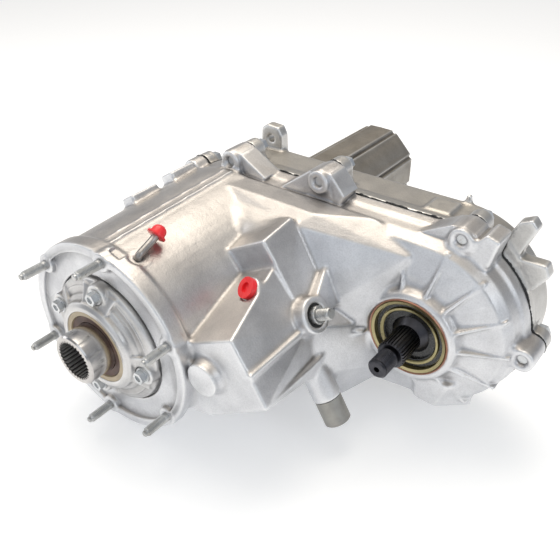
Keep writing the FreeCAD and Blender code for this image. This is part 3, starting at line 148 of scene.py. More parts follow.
def maths(nt, op, a, b=0.0, c=0.0, clamp=False):
    m = node(nt, "ShaderNodeMath", operation=op, use_clamp=clamp)
    for i, v in enumerate((a, b, c)):
        if isinstance(v, (int, float)):
            m.inputs[i].default_value = v
        else:
            nt.links.new(v, m.inputs[i])
    return m.outputs[0]


def bump(nt, height, strength, distance, normal=None):
    b = node(nt, "ShaderNodeBump")
    b.inputs["Strength"].default_value = strength
    b.inputs["Distance"].default_value = distance
    nt.links.new(height, b.inputs["Height"])
    if normal is not None:
        nt.links.new(normal, b.inputs["Normal"])
    return b.outputs[0]


def cast_metal(name, light, dark, rough=(0.33, 0.50), grain=0.6, metallic=0.96, top=(0.84, 0.78, 0.71)):
    """Shot-blasted casting: a fine grain, soft blotches, a painted highlight on edges, painted shade in hollows and a
    painted warm shade on up-facing surfaces.
    """
    m, nt, b = new_mat(name)
    v = coords(nt)
    blotch = noise(nt, v, 26.0, 4.0, 0.6)
    fine = noise(nt, v, 620.0, 2.0, 0.6)
    mid = noise(nt, v, 140.0, 3.0, 0.55)
    col = ramp(nt, blotch, [(0.3, dark), (0.68, light)])
    speck = ramp(nt, fine, [(0.30, 0.80), (0.62, 1.0)])
    col = mix(nt, 0.55, col, speck, "MULTIPLY")
    edge = node(nt, "ShaderNodeAttribute", attribute_name="edge")
    # painted shade: hollows (low edge value) are darkened to stand in for ambient occlusion
    hollow = ramp(nt, edge.outputs["Fac"], [(0.12, (0.34, 0.335, 0.335)), (0.46, (1.0, 1.0, 1.0))])
    col = mix(nt, 0.9, col, hollow, "MULTIPLY")
    # painted shade: up-facing surfaces are tinted darker and warmer by the top colour, standing in for the warm
    # overhead light
    nz = node(nt, "ShaderNodeSeparateXYZ")
    nt.links.new(node(nt, "ShaderNodeNewGeometry").outputs["Normal"], nz.inputs[0])
    painted_top_shade = ramp(nt, nz.outputs["Z"], [(0.30, (1.0, 1.0, 1.0)), (0.92, top)])
    col = mix(nt, 1.0, col, painted_top_shade, "MULTIPLY")
    patch = ramp(nt, noise(nt, v, 11.0, 3.0, 0.6), [(0.34, (0.86, 0.86, 0.87)), (0.66, (1.0, 1.0, 1.0))])
    col = mix(nt, 1.0, col, patch, "MULTIPLY")
    # painted highlight: convex edges are mixed toward light grey to stand in for reflections along the ridges
    painted_edge_highlight = ramp(nt, edge.outputs["Fac"], [(0.60, 0.0), (0.90, 0.62)])
    col = mix(nt, painted_edge_highlight, col, (0.86, 0.86, 0.86))
    nt.links.new(col, b.inputs["Base Color"])
    b.inputs["Metallic"].default_value = metallic
    r = maths(nt, "MULTIPLY_ADD", mid, rough[1] - rough[0], rough[0])
    nt.links.new(r, b.inputs["Roughness"])
    n1 = bump(nt, fine, grain, 0.00035)
    n2 = bump(nt, mid, grain * 0.6, 0.0006, n1)
    nt.links.new(n2, b.inputs["Normal"])
    return m


def turned_metal(name, col_a, col_b, rough, ring_axis=None, scale=900.0, strength=0.12, metallic=1.0, stain=None):
    """Machined or plated steel with a fine drawn or turned line."""
    m, nt, b = new_mat(name)
    v = coords(nt)
    if ring_axis is not None:
        sc = node(nt, "ShaderNodeVectorMath", operation="MULTIPLY")
        nt.links.new(v, sc.inputs[0])
        sc.inputs[1].default_value = ring_axis
        v2 = sc.outputs[0]
    else:
        v2 = v
    line = noise(nt, v2, scale, 2.0, 0.5)
    big = noise(nt, v, 45.0, 4.0, 0.6)
    col = ramp(nt, big, [(0.32, col_a), (0.66, col_b)])
    if stain:
        spots = ramp(nt, noise(nt, v, 170.0, 4.0, 0.7), [(0.60, 0.0), (0.74, 1.0)])
        col = mix(nt, spots, col, stain)
    nt.links.new(col, b.inputs["Base Color"])
    b.inputs["Metallic"].default_value = metallic
    r = maths(nt, "MULTIPLY_ADD", line, 0.16, rough - 0.08)
    nt.links.new(r, b.inputs["Roughness"])
    nt.links.new(bump(nt, line, strength, 0.0002), b.inputs["Normal"])
    return m


def plain_soft(name, col_a, col_b, rough, scale=240.0, strength=0.2, metallic=0.0, coat=0.0):
    m, nt, b = new_mat(name)
    v = coords(nt)
    big = noise(nt, v, 60.0, 3.0, 0.6)
    fine = noise(nt, v, scale, 3.0, 0.6)
    nt.links.new(ramp(nt, big, [(0.3, col_a), (0.7, col_b)]), b.inputs["Base Color"])
    b.inputs["Metallic"].default_value = metallic
    b.inputs["Coat Weight"].default_value = coat
    nt.links.new(maths(nt, "MULTIPLY_ADD", fine, 0.2, rough - 0.1), b.inputs["Roughness"])
    nt.links.new(bump(nt, fine, strength, 0.0003), b.inputs["Normal"])
    return m


# top= sets the painted warm shade on each casting's up-facing surfaces
M = {
    "cast": cast_metal("cast_aluminium", (0.80, 0.805, 0.82), (0.64, 0.645, 0.66)),
    "cast_rear": cast_metal("cast_aluminium_rear", (0.68, 0.67, 0.65), (0.56, 0.55, 0.53), top=(0.90, 0.85, 0.78)),
    "cast_tail": cast_metal("cast_aluminium_tail", (0.42, 0.40, 0.37), (0.31, 0.29, 0.26), rough=(0.48, 0.62), top=(0.86, 0.82, 0.76)),
    "retainer": cast_metal("bright_casting", (0.66, 0.65, 0.64), (0.50, 0.49, 0.48), rough=(0.30, 0.46), grain=0.3, top=(0.9, 0.87, 0.83)),
    "zinc": turned_metal("zinc_plate", (0.55, 0.57, 0.58), (0.72, 0.73, 0.74), 0.36, stain=(0.42, 0.38, 0.32)),
    "steel": turned_metal("machined_steel", (0.52, 0.51, 0.50), (0.66, 0.65, 0.63), 0.26, ring_axis=(0.08, 1.0, 0.08), scale=2600.0),
    "hub": turned_metal("polished_hub", (0.46, 0.44, 0.43), (0.60, 0.58, 0.56), 0.17, ring_axis=(0.05, 1.0, 0.05), scale=3000.0, strength=0.08),
    "plug_steel": turned_metal("grey_plug", (0.30, 0.29, 0.27), (0.40, 0.39, 0.36), 0.42, scale=700.0, strength=0.2),
    "dark": turned_metal("oiled_steel", (0.035, 0.035, 0.04), (0.085, 0.085, 0.095), 0.33, scale=900.0, strength=0.15),
    "rubber": plain_soft("black_rubber", (0.012, 0.012, 0.012), (0.03, 0.03, 0.03), 0.6),
    "sealant": plain_soft("black_sealant", (0.006, 0.006, 0.006), (0.016, 0.016, 0.016), 0.45),
    "tan": plain_soft("tan_seal", (0.40, 0.31, 0.19), (0.52, 0.42, 0.27), 0.42, coat=0.2),
    "olive": turned_metal("olive_zinc", (0.34, 0.30, 0.15), (0.48, 0.42, 0.24), 0.34, stain=(0.25, 0.20, 0.10)),
    "copper": plain_soft("copper_lip", (0.36, 0.15, 0.09), (0.50, 0.27, 0.18), 0.38, metallic=0.5, coat=0.3),
    "rust": plain_soft("dark_rust", (0.05, 0.026, 0.020), (0.13, 0.062, 0.042), 0.45, metallic=0.2),
    "oily": plain_soft("oily_black", (0.008, 0.008, 0.008), (0.018, 0.017, 0.015), 0.28, coat=0.4),
    "tube": turned_metal("weathered_tube", (0.30, 0.285, 0.27), (0.46, 0.44, 0.42), 0.36, scale=500.0, stain=(0.24, 0.17, 0.12)),
    "bore": turned_metal("dull_spline", (0.20, 0.195, 0.19), (0.34, 0.33, 0.32), 0.5, scale=600.0, metallic=0.4),
    "stud": turned_metal("grey_thread", (0.40, 0.40, 0.39), (0.60, 0.60, 0.59), 0.40, scale=700.0, stain=(0.26, 0.22, 0.17)),
    "bronze": turned_metal("bronze", (0.44, 0.29, 0.13), (0.58, 0.40, 0.20), 0.36),
    "red": plain_soft("red_cap", (0.78, 0.012, 0.02), (0.90, 0.03, 0.035), 0.36, strength=0.08, coat=0.25),
}
BY_SLOT = {"cast_aluminium": "cast", "zinc_steel": "zinc", "machined_steel": "steel", "dark_steel": "dark", "black_rubber": "rubber",
           "tan_seal": "tan", "olive_zinc": "olive", "copper_lip": "copper", "bronze": "bronze", "red_plastic": "red"}
slot_of = {s["node"]: s["material_slot"] for s in frame["record"]["subparts"]}
SPECIAL = {"vent_tube": "tube", "input_gear": "hub", "sealant_bead": "sealant", "detent_plug": "plug_steel", "input_bearing_retainer": "retainer"}


def paint(obj, key):
    if not obj.data.materials:
        obj.data.materials.append(M[key])
    for s in obj.material_slots:
        s.material = M[key]


for name, obj in N.items():
    paint(obj, SPECIAL.get(name) or BY_SLOT[slot_of[name]])


# ------------------------------------------------------------------ distance fields for the castings, in mm
def mesh_of(obj):
    me = obj.data
    me.calc_loop_triangles()
    v = np.empty(len(me.vertices) * 3, np.float32)
    me.vertices.foreach_get("co", v)
    t = np.empty(len(me.loop_triangles) * 3, np.int32)
    me.loop_triangles.foreach_get("vertices", t)
    return v.reshape(-1, 3) * 1000.0, t.reshape(-1, 3).astype(np.uint32)


def level(points, faces, lo, dims, half, h):
    kind = "quads" if faces.shape[1] == 4 else "triangles"
    g = vdb.FloatGrid.createLevelSetFromPolygons(np.ascontiguousarray(points, np.float32), transform=vdb.createLinearTransform(voxelSize=h),
                                                 halfWidth=float(half), **{kind: np.ascontiguousarray(faces, np.uint32)})
    a = np.empty(dims, np.float32)
    g.copyToArray(a, ijk=tuple(int(i) for i in lo))
    return g, a


def gauss(a, sigma, h):
    s = sigma / h
    r = max(1, int(math.ceil(2.6 * s)))
    k = np.exp(-0.5 * (np.arange(-r, r + 1) / s) ** 2)
    k /= k.sum()
    for ax in range(3):
        pad = [(0, 0)] * 3
        pad[ax] = (r, r)
        p = np.pad(a, pad, mode="edge")
        out = np.zeros_like(a)
        for i, w in enumerate(k):
            sl = [slice(None)] * 3
            sl[ax] = slice(i, i + a.shape[ax])
            out += np.float32(w) * p[tuple(sl)]
        a = out
    return a


class Field:
    def __init__(self, obj, close, soft, pad=12.0, h=None):
        self.h = h = h or H
        v, t = mesh_of(obj)
        self.lo = np.floor((v.min(0) - pad) / h).astype(int)
        hi = np.ceil((v.max(0) + pad) / h).astype(int)
        self.dims = tuple(int(i) for i in hi - self.lo + 1)
        half = max(4.0, close / h + 3.0)
        g, a = level(v, t, self.lo, self.dims, half, h)
        if close > 0:
            pts, quads = g.convertToQuads(float(close))
            g2, a = level(pts, quads, self.lo, self.dims, half, h)
            a = a + np.float32(close)
        self.a = gauss(a, soft, h) if soft > 0 else a

    def part(self, lo, hi):
        i0 = np.maximum(np.floor(np.array(lo) / self.h).astype(int) - self.lo, 0)
        i1 = np.minimum(np.ceil(np.array(hi) / self.h).astype(int) - self.lo + 1, self.dims)
        sl = tuple(slice(int(a), int(b)) for a, b in zip(i0, i1))
        ax = [(np.arange(s.start, s.stop) + l).astype(np.float32) * self.h for s, l in zip(sl, self.lo)]
        return sl, ax[0][:, None, None], ax[1][None, :, None], ax[2][None, None, :]

    def add(self, shape, k=3.0):
        f, lo, hi = shape
        m = k + 2 * self.h
        sl, X, Y, Z = self.part(np.array(lo) - m, np.array(hi) + m)
        if 0 in self.a[sl].shape:
            return
        d = f(X, Y, Z)
        a = self.a[sl]
        if k <= 0:
            self.a[sl] = np.minimum(a, d)
            return
        h = np.clip(0.5 + 0.5 * (a - d) / k, 0, 1)
        self.a[sl] = a * (1 - h) + d * h - k * h * (1 - h)

    def cut(self, shape, k=0.0):
        f, lo, hi = shape
        m = k + 2 * self.h
        sl, X, Y, Z = self.part(np.array(lo) - m, np.array(hi) + m)
        if 0 in self.a[sl].shape:
            return
        d = -f(X, Y, Z)
        a = self.a[sl]
        if k <= 0:
            self.a[sl] = np.maximum(a, d)
            return
        h = np.clip(0.5 - 0.5 * (a - d) / k, 0, 1)
        self.a[sl] = a * (1 - h) + d * h + k * h * (1 - h)

    def mesh(self, name, faces_max):
        bg = 3.0 * self.h
        g = vdb.FloatGrid(bg)
        g.transform = vdb.createLinearTransform(voxelSize=self.h)
        g.copyFromArray(np.clip(self.a, -bg, bg), ijk=tuple(int(i) for i in self.lo), tolerance=1e-6)
        pts, quads = g.convertToQuads(0.0)
        quads = quads[:, ::-1]
        # how much each point stands on an edge or in a hollow
        soft = gauss(self.a, 2.4, self.h)
        q = pts / self.h - self.lo
        i = np.clip(np.floor(q).astype(int), 0, np.array(self.dims) - 2)
        f = (q - i).astype(np.float32)
        e = np.zeros(len(pts), np.float32)
        for dx in (0, 1):
            for dy in (0, 1):
                for dz in (0, 1):
                    w = (f[:, 0] if dx else 1 - f[:, 0]) * (f[:, 1] if dy else 1 - f[:, 1]) * (f[:, 2] if dz else 1 - f[:, 2])
                    e += w * soft[i[:, 0] + dx, i[:, 1] + dy, i[:, 2] + dz]
        e = np.clip(0.5 + e / 2.6, 0, 1)
        me = bpy.data.meshes.new(name)
        me.vertices.add(len(pts))
        me.vertices.foreach_set("co", (pts / 1000.0).astype(np.float32).ravel())
        me.loops.add(quads.size)
        me.loops.foreach_set("vertex_index", quads.astype(np.int32).ravel())
        me.polygons.add(len(quads))
        me.polygons.foreach_set("loop_start", np.arange(0, quads.size, 4, dtype=np.int32))
        me.update(calc_edges=True)
        me.validate()
        at = me.attributes.new("edge", "FLOAT", "POINT")
        at.data.foreach_set("value", e)
        obj = bpy.data.objects.new(name, me)
        scene.collection.objects.link(obj)
        if len(quads) * 2 > faces_max:
            dec = obj.modifiers.new("thin", "DECIMATE")
            dec.ratio = faces_max / (len(quads) * 2.0)
            dg = bpy.context.evaluated_depsgraph_get()
            fresh = bpy.data.meshes.new_from_object(obj.evaluated_get(dg))
            obj.modifiers.clear()
            obj.data = fresh
            fresh.name = name
        obj.data.polygons.foreach_set("use_smooth", np.ones(len(obj.data.polygons), bool))
        print("casting", name, len(quads), len(obj.data.polygons))
        return obj


# ------------------------------------------------------------------ shapes, each (distance function, low, high)
def rodshape(a, b, ra, rb=None):
    rb = ra if rb is None else rb
    a, b = np.array(a, float), np.array(b, float)
    ab = b - a
    L2 = float(ab @ ab)

    def f(X, Y, Z):
        px, py, pz = X - a[0], Y - a[1], Z - a[2]
        t = np.clip((px * ab[0] + py * ab[1] + pz * ab[2]) / L2, 0, 1)
        return np.sqrt((px - t * ab[0]) ** 2 + (py - t * ab[1]) ** 2 + (pz - t * ab[2]) ** 2) - (ra + (rb - ra) * t)
    r = max(ra, rb)
    return f, np.minimum(a, b) - r, np.maximum(a, b) + r


def drum(a, axis, length, ra, rb=None):
    """Flat-ended cylinder or cone from a along axis."""
    rb = ra if rb is None else rb
    a = np.array(a, float)
    n = np.array(axis, float)
    n /= np.linalg.norm(n)
    slope = (rb - ra) / length
    c = 1.0 / math.sqrt(1 + slope * slope)

    def f(X, Y, Z):
        px, py, pz = X - a[0], Y - a[1], Z - a[2]
        t = px * n[0] + py * n[1] + pz * n[2]
        r = np.sqrt(np.maximum(px * px + py * py + pz * pz - t * t, 0))
        return np.maximum((r - (ra + slope * t)) * c, np.maximum(-t, t - length))
    r = max(ra, rb)
    e = a + n * length
    return f, np.minimum(a, e) - r, np.maximum(a, e) + r


def plate(origin, uax, vax, poly, thick, draft=0.0):
    """Convex flat plate: poly in the (u, v) plane through origin, thick to each side."""
    o = np.array(origin, float)
    u = np.array(uax, float)
    u /= np.linalg.norm(u)
    v = np.array(vax, float)
    v = v - u * (v @ u)
    v /= np.linalg.norm(v)
    n = np.cross(u, v)
    poly = [np.array(p, float) for p in poly]
    area = sum(p[0] * q[1] - q[0] * p[1] for p, q in zip(poly, poly[1:] + poly[:1]))
    if area < 0:
        poly = poly[::-1]
    edges = []
    for p, q in zip(poly, poly[1:] + poly[:1]):
        d = (q - p) / np.linalg.norm(q - p)
        edges.append((d[1], -d[0], p))

    def f(X, Y, Z):
        px, py, pz = X - o[0], Y - o[1], Z - o[2]
        a = px * u[0] + py * u[1] + pz * u[2]
        b = px * v[0] + py * v[1] + pz * v[2]
        c = px * n[0] + py * n[1] + pz * n[2]
        d = None
        for ex, ey, p in edges:
            s = (a - p[0]) * ex + (b - p[1]) * ey
            d = s if d is None else np.maximum(d, s)
        return np.maximum(d, np.abs(c) - thick + draft * np.maximum(-d, 0) * 0)
    pts = np.array([o + u * p[0] + v * p[1] + n * s for p in poly for s in (-thick, thick)])
    return f, pts.min(0), pts.max(0)


UX = np.array((0.8660254, 0.0, 0.5))
WX = np.array((0.5, 0.0, -0.8660254))


def uv(u, y, v):
    return tuple(UX * u + WX * v + np.array((0.0, y, 0.0)))


FX, FZ = 251.5, 9.7

BOSSES = [(-3, 122), (117, 131), (279, 118), (358, 12), (279, -83), (150, -102), (60, -113), (-40, -113), (-108, -52), (-116, 24), (-78, 86)]
BOSS_Y = {4: 220.0, 10: 220.0, 9: 222.0}
RET = [math.radians(a) for a in (84, 156, -10, -102)]
STUDS = [math.radians(141.6 - 60 * k) for k in range(6)]
SPLIT = 240.0
Y1 = (0, 1, 0)


def place(obj, key, body="case", instead=None):
    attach(obj, body)
    if instead:
        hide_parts(instead)
    paint(obj, key)


# ------------------------------------------------------------------ front casting
F = Field(N["front_case"], close=3.2, soft=1.1)
# radial fins round the output boss, with a light flare between them
F.add(drum((FX, 178.6, FZ), Y1, 20.0, 46.0, 60.0), 8.0)
for ang in (136, 106, 78, 52, 26, 2, -24, -50, -80, -110):
    a = math.radians(ang)
    d = (math.cos(a), 0.0, math.sin(a))
    F.add(plate((FX, 0, FZ), d, Y1, [(42, 176.4), (97, 201.4), (97, 214), (42, 214)], 1.45), 2.0)
# curved ribs that run from the shift housing to the output boss
F.add(rodshape((168, 186, -1), (206, 181, 17), 3.0), 5.0)
F.add(rodshape((163, 187, -60), (206, 182, -16), 3.4), 6.0)
# long rib on the side wall, twin lines of the mould parting along the range barrel
F.add(rodshape(uv(171.8, 18, 61), uv(169.8, 104, 61), 1.3), 1.6)
F.add(rodshape((-4.6, 14, 107.4), (-4.6, 200, 115.4), 0.9), 1.0)
F.add(rodshape((5.4, 14, 107.4), (5.4, 200, 115.4), 0.9), 1.0)
# blend where the housing's shoulder meets the barrel
F.add(rodshape((46, 152, 84), (98, 146, 86), 9.0), 8.0)
F.add(rodshape((44, 161, 90), (112, 159, 93), 9.0), 8.0)
F.add(rodshape((50, 157, 87), (106, 153, 90), 9.0), 8.0)
# round boss on the front face of the housing
F.add(drum((128, 6.0, 9), Y1, 26.0, 17.2, 19.0), 1.2)
# gussets on the upper bolt bosses
F.add(plate((0, 226, 0), (1, 0, 0), (0, 0, 1), [(64, 108), (104, 139), (117, 144), (130, 141), (147, 121), (140, 100), (80, 98)], 13.5), 2.0)
F.add(plate((0, 226, 0), (1, 0, 0), (0, 0, 1), [(232, 109), (266, 128), (279, 131), (292, 126), (301, 104), (286, 92), (250, 96)], 13.5), 2.0)
F.add(plate((0, 226, 0), (1, 0, 0), (0, 0, 1), [(-24, 106), (-14, 131), (-3, 135), (9, 132), (44, 112), (30, 98)], 13.5), 2.0)
for k, (bx, bz) in enumerate(BOSSES):
    y = BOSS_Y.get(k, 207.0)
    F.add(drum((bx, y, bz), Y1, 32.0, 11.6, 12.6), 1.0)
# stud bosses inside the rim, the machined openings cut sharp again
F.cut(drum((0, -20, 0), Y1, 26.0, 98.6))
for a in STUDS:
    F.add(drum((100 * math.cos(a), 0.2, 100 * math.sin(a)), Y1, 14.0, 10.0, 11.2), 1.6)
F.cut(drum((0, -4, 0), Y1, 4.2, 130.0))
F.cut(drum((0, 4, 0), Y1, 6.0, 74.2))
F.cut(drum((0, 5, 0), Y1, 45.0, 41.0))
F.cut(drum((FX, 150, FZ), Y1, 66.0, 42.6))
F.cut(drum((FX, 150, FZ), Y1, 27.4, 44.6))
for k, (bx, bz) in enumerate(BOSSES):
    y = BOSS_Y.get(k, 207.0)
    F.cut(drum((bx, y - 2, bz), Y1, 40.0, 5.1))
    F.cut(drum((bx, y - 1, bz), Y1, 3.2, 8.2 if k in (2, 3) else 7.0, 5.4))
for a in STUDS:
    F.cut(drum((100 * math.cos(a), -2, 100 * math.sin(a)), Y1, 3.4, 6.6, 4.6))
F.cut(drum(uv(140, 116, 53), UX, 60.0, 6.8))
F.cut(drum(uv(172.5, 116, 53), UX, 20.0, 12.0))
F.cut(drum(uv(138.5, 121, 90), WX, 70.0, 7.1))
F.cut(drum((0, 40, 0), Y1, 180.0, 88.0))
PD = WX * -0.70 + np.array((0.0, -0.714, 0.0))
PD = PD / np.linalg.norm(PD)
PP = np.array(uv(148, 89, 10))
F.add(drum(PP - PD * 8, PD, 20.5, 12.4, 11.5), 2.0)
F.cut(drum(PP + PD * 12.5, PD, 14.0, 13.0))
F.cut(drum(PP - PD * 10, PD, 40.0, 8.0))
VD = np.array((0.35, 0.0, 0.94))
VD = VD / np.linalg.norm(VD)
VB = np.array((31.0, 28.0, 84.0)) + VD * 17.0
F.cut(drum(VB - VD * 0.5, VD, 12.0, 9.5, 15.0), 2.5)
F.cut(drum(VB - VD * 10, VD, 30.0, 4.05))
F.cut(plate((24, 17, 107.5), (1, 0, -0.24), Y1, [(-7, -6), (7, -6), (7, 7), (-7, 7)], 2.4), 1.6)
front = F.mesh("front_casting", 260000)
place(front, "cast", instead="front_case")

# ------------------------------------------------------------------ rear casting
R = Field(N["rear_case"], close=2.4, soft=1.0)
for k, (bx, bz) in enumerate(BOSSES):
    R.cut(drum((bx, 258.0, bz), Y1, 18.0, 10.6))
    R.cut(drum((bx, 236.0, bz), Y1, 30.0, 5.1))
R.cut(drum((-8, 280, 122), Y1, 30.0, 5.0))
rear = R.mesh("rear_casting", 170000)
place(rear, "cast_rear", instead="rear_case")

# ------------------------------------------------------------------ tail casting
T = Field(N["tail_housing"], close=0.0, soft=0.9)
tv, _ = mesh_of(N["tail_housing"])
T0, T1 = float(tv[:, 1].min()), float(tv[:, 1].max())
for k in range(8):
    a = math.radians(22.5 + 45 * k)
    c, d = math.cos(a), math.sin(a)
    T.cut(rodshape((61.2 * c, T0 + 44, 61.2 * d), (58.6 * c, T1 + 4, 58.6 * d), 3.0), 1.2)
for a in (20, 92, 164, 236, 308):
    x, z = 64 * math.cos(math.radians(a)), 64 * math.sin(math.radians(a))
    T.cut(drum((x, T0 + 11.0, z), Y1, 18.0, 9.5))
    T.cut(drum((x, T0 - 1.0, z), Y1, 18.0, 4.1))
tail = T.mesh("tail_casting", 110000)
place(tail, "cast_tail", instead="tail_housing")

# ------------------------------------------------------------------ squeezed-out sealant along the split
i0 = np.maximum(F.lo, R.lo)
i1 = np.minimum(F.lo + F.dims, R.lo + R.dims)
j0, j1 = int(math.floor((SPLIT - 5) / H)), int(math.ceil((SPLIT + 5) / H))
i0[1], i1[1] = max(i0[1], j0), min(i1[1], j1)
cutF = F.a[tuple(slice(int(a), int(b)) for a, b in zip(i0 - F.lo, i1 - F.lo))]
cutR = R.a[tuple(slice(int(a), int(b)) for a, b in zip(i0 - R.lo, i1 - R.lo))]
mid = int(round(SPLIT / H)) - int(i0[1])
step = max(1, int(round(2.0 / H)))
near = np.maximum(cutF[:, mid - step], cutR[:, mid + step])[:, None, :]
X = (np.arange(i0[0], i1[0]).astype(np.float32) * H)[:, None, None]
Y = (np.arange(i0[1], i1[1]).astype(np.float32) * H)[None, :, None]
Z = (np.arange(i0[2], i1[2]).astype(np.float32) * H)[None, None, :]
wob = np.sin(X * 0.131 + 1.3) * np.sin(Z * 0.117 + 0.4) + 0.6 * np.sin(X * 0.37 + Z * 0.29) + 0.4 * np.sin(X * 0.83 - Z * 0.71 + 2.0)
out = 0.95 + 0.55 * wob
side = 1.15 + 0.28 * np.sin(X * 0.29 + Z * 0.33 + 0.8) + 0.12 * np.sin(X * 1.1 - Z * 0.9)
off = 0.35 * np.sin(X * 0.21 - Z * 0.26)
bead = np.maximum(np.maximum(np.abs(Y - SPLIT + off) - side, near - out), -5.0 - near)
S = Field.__new__(Field)
S.h, S.lo, S.dims = H, i0, bead.shape
S.a = gauss(np.pad(bead, 3, constant_values=4.0), 0.5, H)
S.lo, S.dims = i0 - 3, S.a.shape
sealant = S.mesh("sealant_squeeze", 90000)
place(sealant, "sealant", instead="sealant_bead")

# ------------------------------------------------------------------ bearing retainer
hr = 0.75
B = Field(N["input_bearing_retainer"], close=1.4, soft=0.75, pad=6.0, h=hr)
sv, _ = mesh_of(N["input_seal"])
seal_r = float(np.hypot(sv[:, 0], sv[:, 2]).max())
for r, y in ((56.4, -4.4), (64.5, -1.6)):
    B.add(drum((0, y, 0), Y1, 6.0, r, r + 0.8), 0.5)
B.cut(drum((0, -20, 0), Y1, 18.4, seal_r + 0.06))
B.cut(drum((0, -20, 0), Y1, 50.0, 38.0))
for a in RET:
    x, z = 61 * math.cos(a), 61 * math.sin(a)
    B.add(drum((x, -5.5, z), Y1, 12.0, 11.6, 12.4), 0.8)
    B.cut(drum((x, -20, z), Y1, 14.5, 9.1))
    B.cut(drum((x, -7, z), Y1, 40.0, 4.3))
B.cut(drum((0, -20, 0), Y1, 18.4, seal_r + 0.06))
retainer = B.mesh("bright_retainer", 120000)
place(retainer, "retainer", instead="input_bearing_retainer")


# ------------------------------------------------------------------ turned and threaded pieces
def build(name, pts, faces, sharp=0.6):
    me = bpy.data.meshes.new(name)
    me.from_pydata([tuple(p) for p in pts], [], faces)
    me.validate()
    me.update()
    obj = bpy.data.objects.new(name, me)
    scene.collection.objects.link(obj)
    me.polygons.foreach_set("use_smooth", np.ones(len(me.polygons), bool))
    me.set_sharp_from_angle(angle=sharp)
    return obj


def spun(a, axis, s, r_of, seg, pts, faces):
    """Closed solid of revolution-like rows: s positions along axis from a, r_of(s, angle) radii, all mm."""
    a = np.array(a, float)
    n = np.array(axis, float)
    n /= np.linalg.norm(n)
    p = np.cross(n, (0.123, 0.456, 0.877))
    p /= np.linalg.norm(p)
    q = np.cross(n, p)
    base = len(pts)
    for t in s:
        for k in range(seg):
            w = 2 * math.pi * k / seg
            r = r_of(t, w)
            pts.append((a + n * t + p * (r * math.cos(w)) + q * (r * math.sin(w))) / 1000.0)
    rows = len(s)
    for i in range(rows - 1):
        for k in range(seg):
            k2 = (k + 1) % seg
            faces.append((base + i * seg + k, base + i * seg + k2, base + (i + 1) * seg + k2, base + (i + 1) * seg + k))
    faces.append(tuple(base + k for k in reversed(range(seg))))
    faces.append(tuple(base + (rows - 1) * seg + k for k in range(seg)))


def thread_radius(rad, pitch, depth, start, stop, profile=None):
    def r_of(t, w):
        r = rad if profile is None else float(np.interp(t, profile[0], profile[1]))
        if start <= t <= stop:
            ph = (t / pitch - w / (2 * math.pi)) % 1.0
            tri = 1.0 - abs(2.0 * ph - 1.0)
            fade = min(1.0, (t - start) / pitch, (stop - t) / pitch)
            r -= depth * fade * (1.0 - min(1.0, max(0.0, (tri - 0.1) / 0.75)))
        return r
    return r_of


pts, faces = [], []
prof = ([0.0, 0.5, 2.5, 4.2, 31.0], [2.5, 3.2, 3.2, 4.98, 4.98])
for a in STUDS:
    s = [0.0, 0.5, 2.5] + list(np.arange(3.2, 27.5, 0.25)) + [28.0, 30.4, 33.0]
    spun((100 * math.cos(a), -30.4, 100 * math.sin(a)), Y1, s, thread_radius(4.98, 1.5, 0.85, 3.2, 27.4, prof), 24, pts, faces)
studs = build("adapter_stud_threads", pts, faces)
place(studs, "stud", instead="adapter_studs")

ov, _ = mesh_of(N["front_output_shaft"])
tip = float(ov[:, 1].min())
near_tip = ov[(ov[:, 1] > tip + 1.4) & (ov[:, 1] < tip + 22.2)]
thr = float(np.hypot(near_tip[:, 0] - FX, near_tip[:, 2] - FZ).max())


def ring_section(name, section, centre, seg=96, sharp=0.5):
    """Closed ring: section (radius, along Y) turned about the Y axis through centre."""
    pts, faces = [], []
    m = len(section)
    for k in range(seg):
        w = 2 * math.pi * k / seg
        for r, y in section:
            pts.append(((centre[0] + r * math.cos(w)) / 1000.0, (centre[1] + y) / 1000.0, (centre[2] + r * math.sin(w)) / 1000.0))
    for k in range(seg):
        k2 = (k + 1) % seg
        for i in range(m):
            i2 = (i + 1) % m
            faces.append((k * m + i, k * m + i2, k2 * m + i2, k2 * m + i))
    obj = build(name, pts, faces, sharp)
    import bmesh
    bm = bmesh.new()
    bm.from_mesh(obj.data)
    bmesh.ops.recalc_face_normals(bm, faces=bm.faces)
    bm.to_mesh(obj.data)
    bm.free()
    return obj


def sleeve_thread(name, centre, y0, y1, rad, pitch, depth, inner, seg=40):
    """Threaded outside, plain inside, round a Y axis."""
    pts, faces = [], []
    s = np.arange(y0, y1 + 1e-6, pitch / 6.0)
    f = thread_radius(rad, pitch, depth, y0, y1)
    rows = len(s)
    for t in s:
        for k in range(seg):
            w = 2 * math.pi * k / seg
            r = f(t, w)
            pts.append(((centre[0] + r * math.cos(w)) / 1000, t / 1000, (centre[1] + r * math.sin(w)) / 1000))
    base = len(pts)
    for t in (s[0], s[-1]):
        for k in range(seg):
            w = 2 * math.pi * k / seg
            pts.append(((centre[0] + inner * math.cos(w)) / 1000, t / 1000, (centre[1] + inner * math.sin(w)) / 1000))
    for k in range(seg):
        k2 = (k + 1) % seg
        for i in range(rows - 1):
            faces.append((i * seg + k, (i + 1) * seg + k, (i + 1) * seg + k2, i * seg + k2))
        faces.append((base + k, k, k2, base + k2))
        last = (rows - 1) * seg
        faces.append((last + k, base + seg + k, base + seg + k2, last + k2))
        faces.append((base + seg + k, base + k, base + k2, base + seg + k2))
    return build(name, pts, faces)


nut_thread = sleeve_thread("output_end_thread", (FX, FZ), tip + 2.0, tip + 21.6, thr + 0.45, 1.5, 0.8, thr - 0.8)
place(nut_thread, "dark", "front_output")

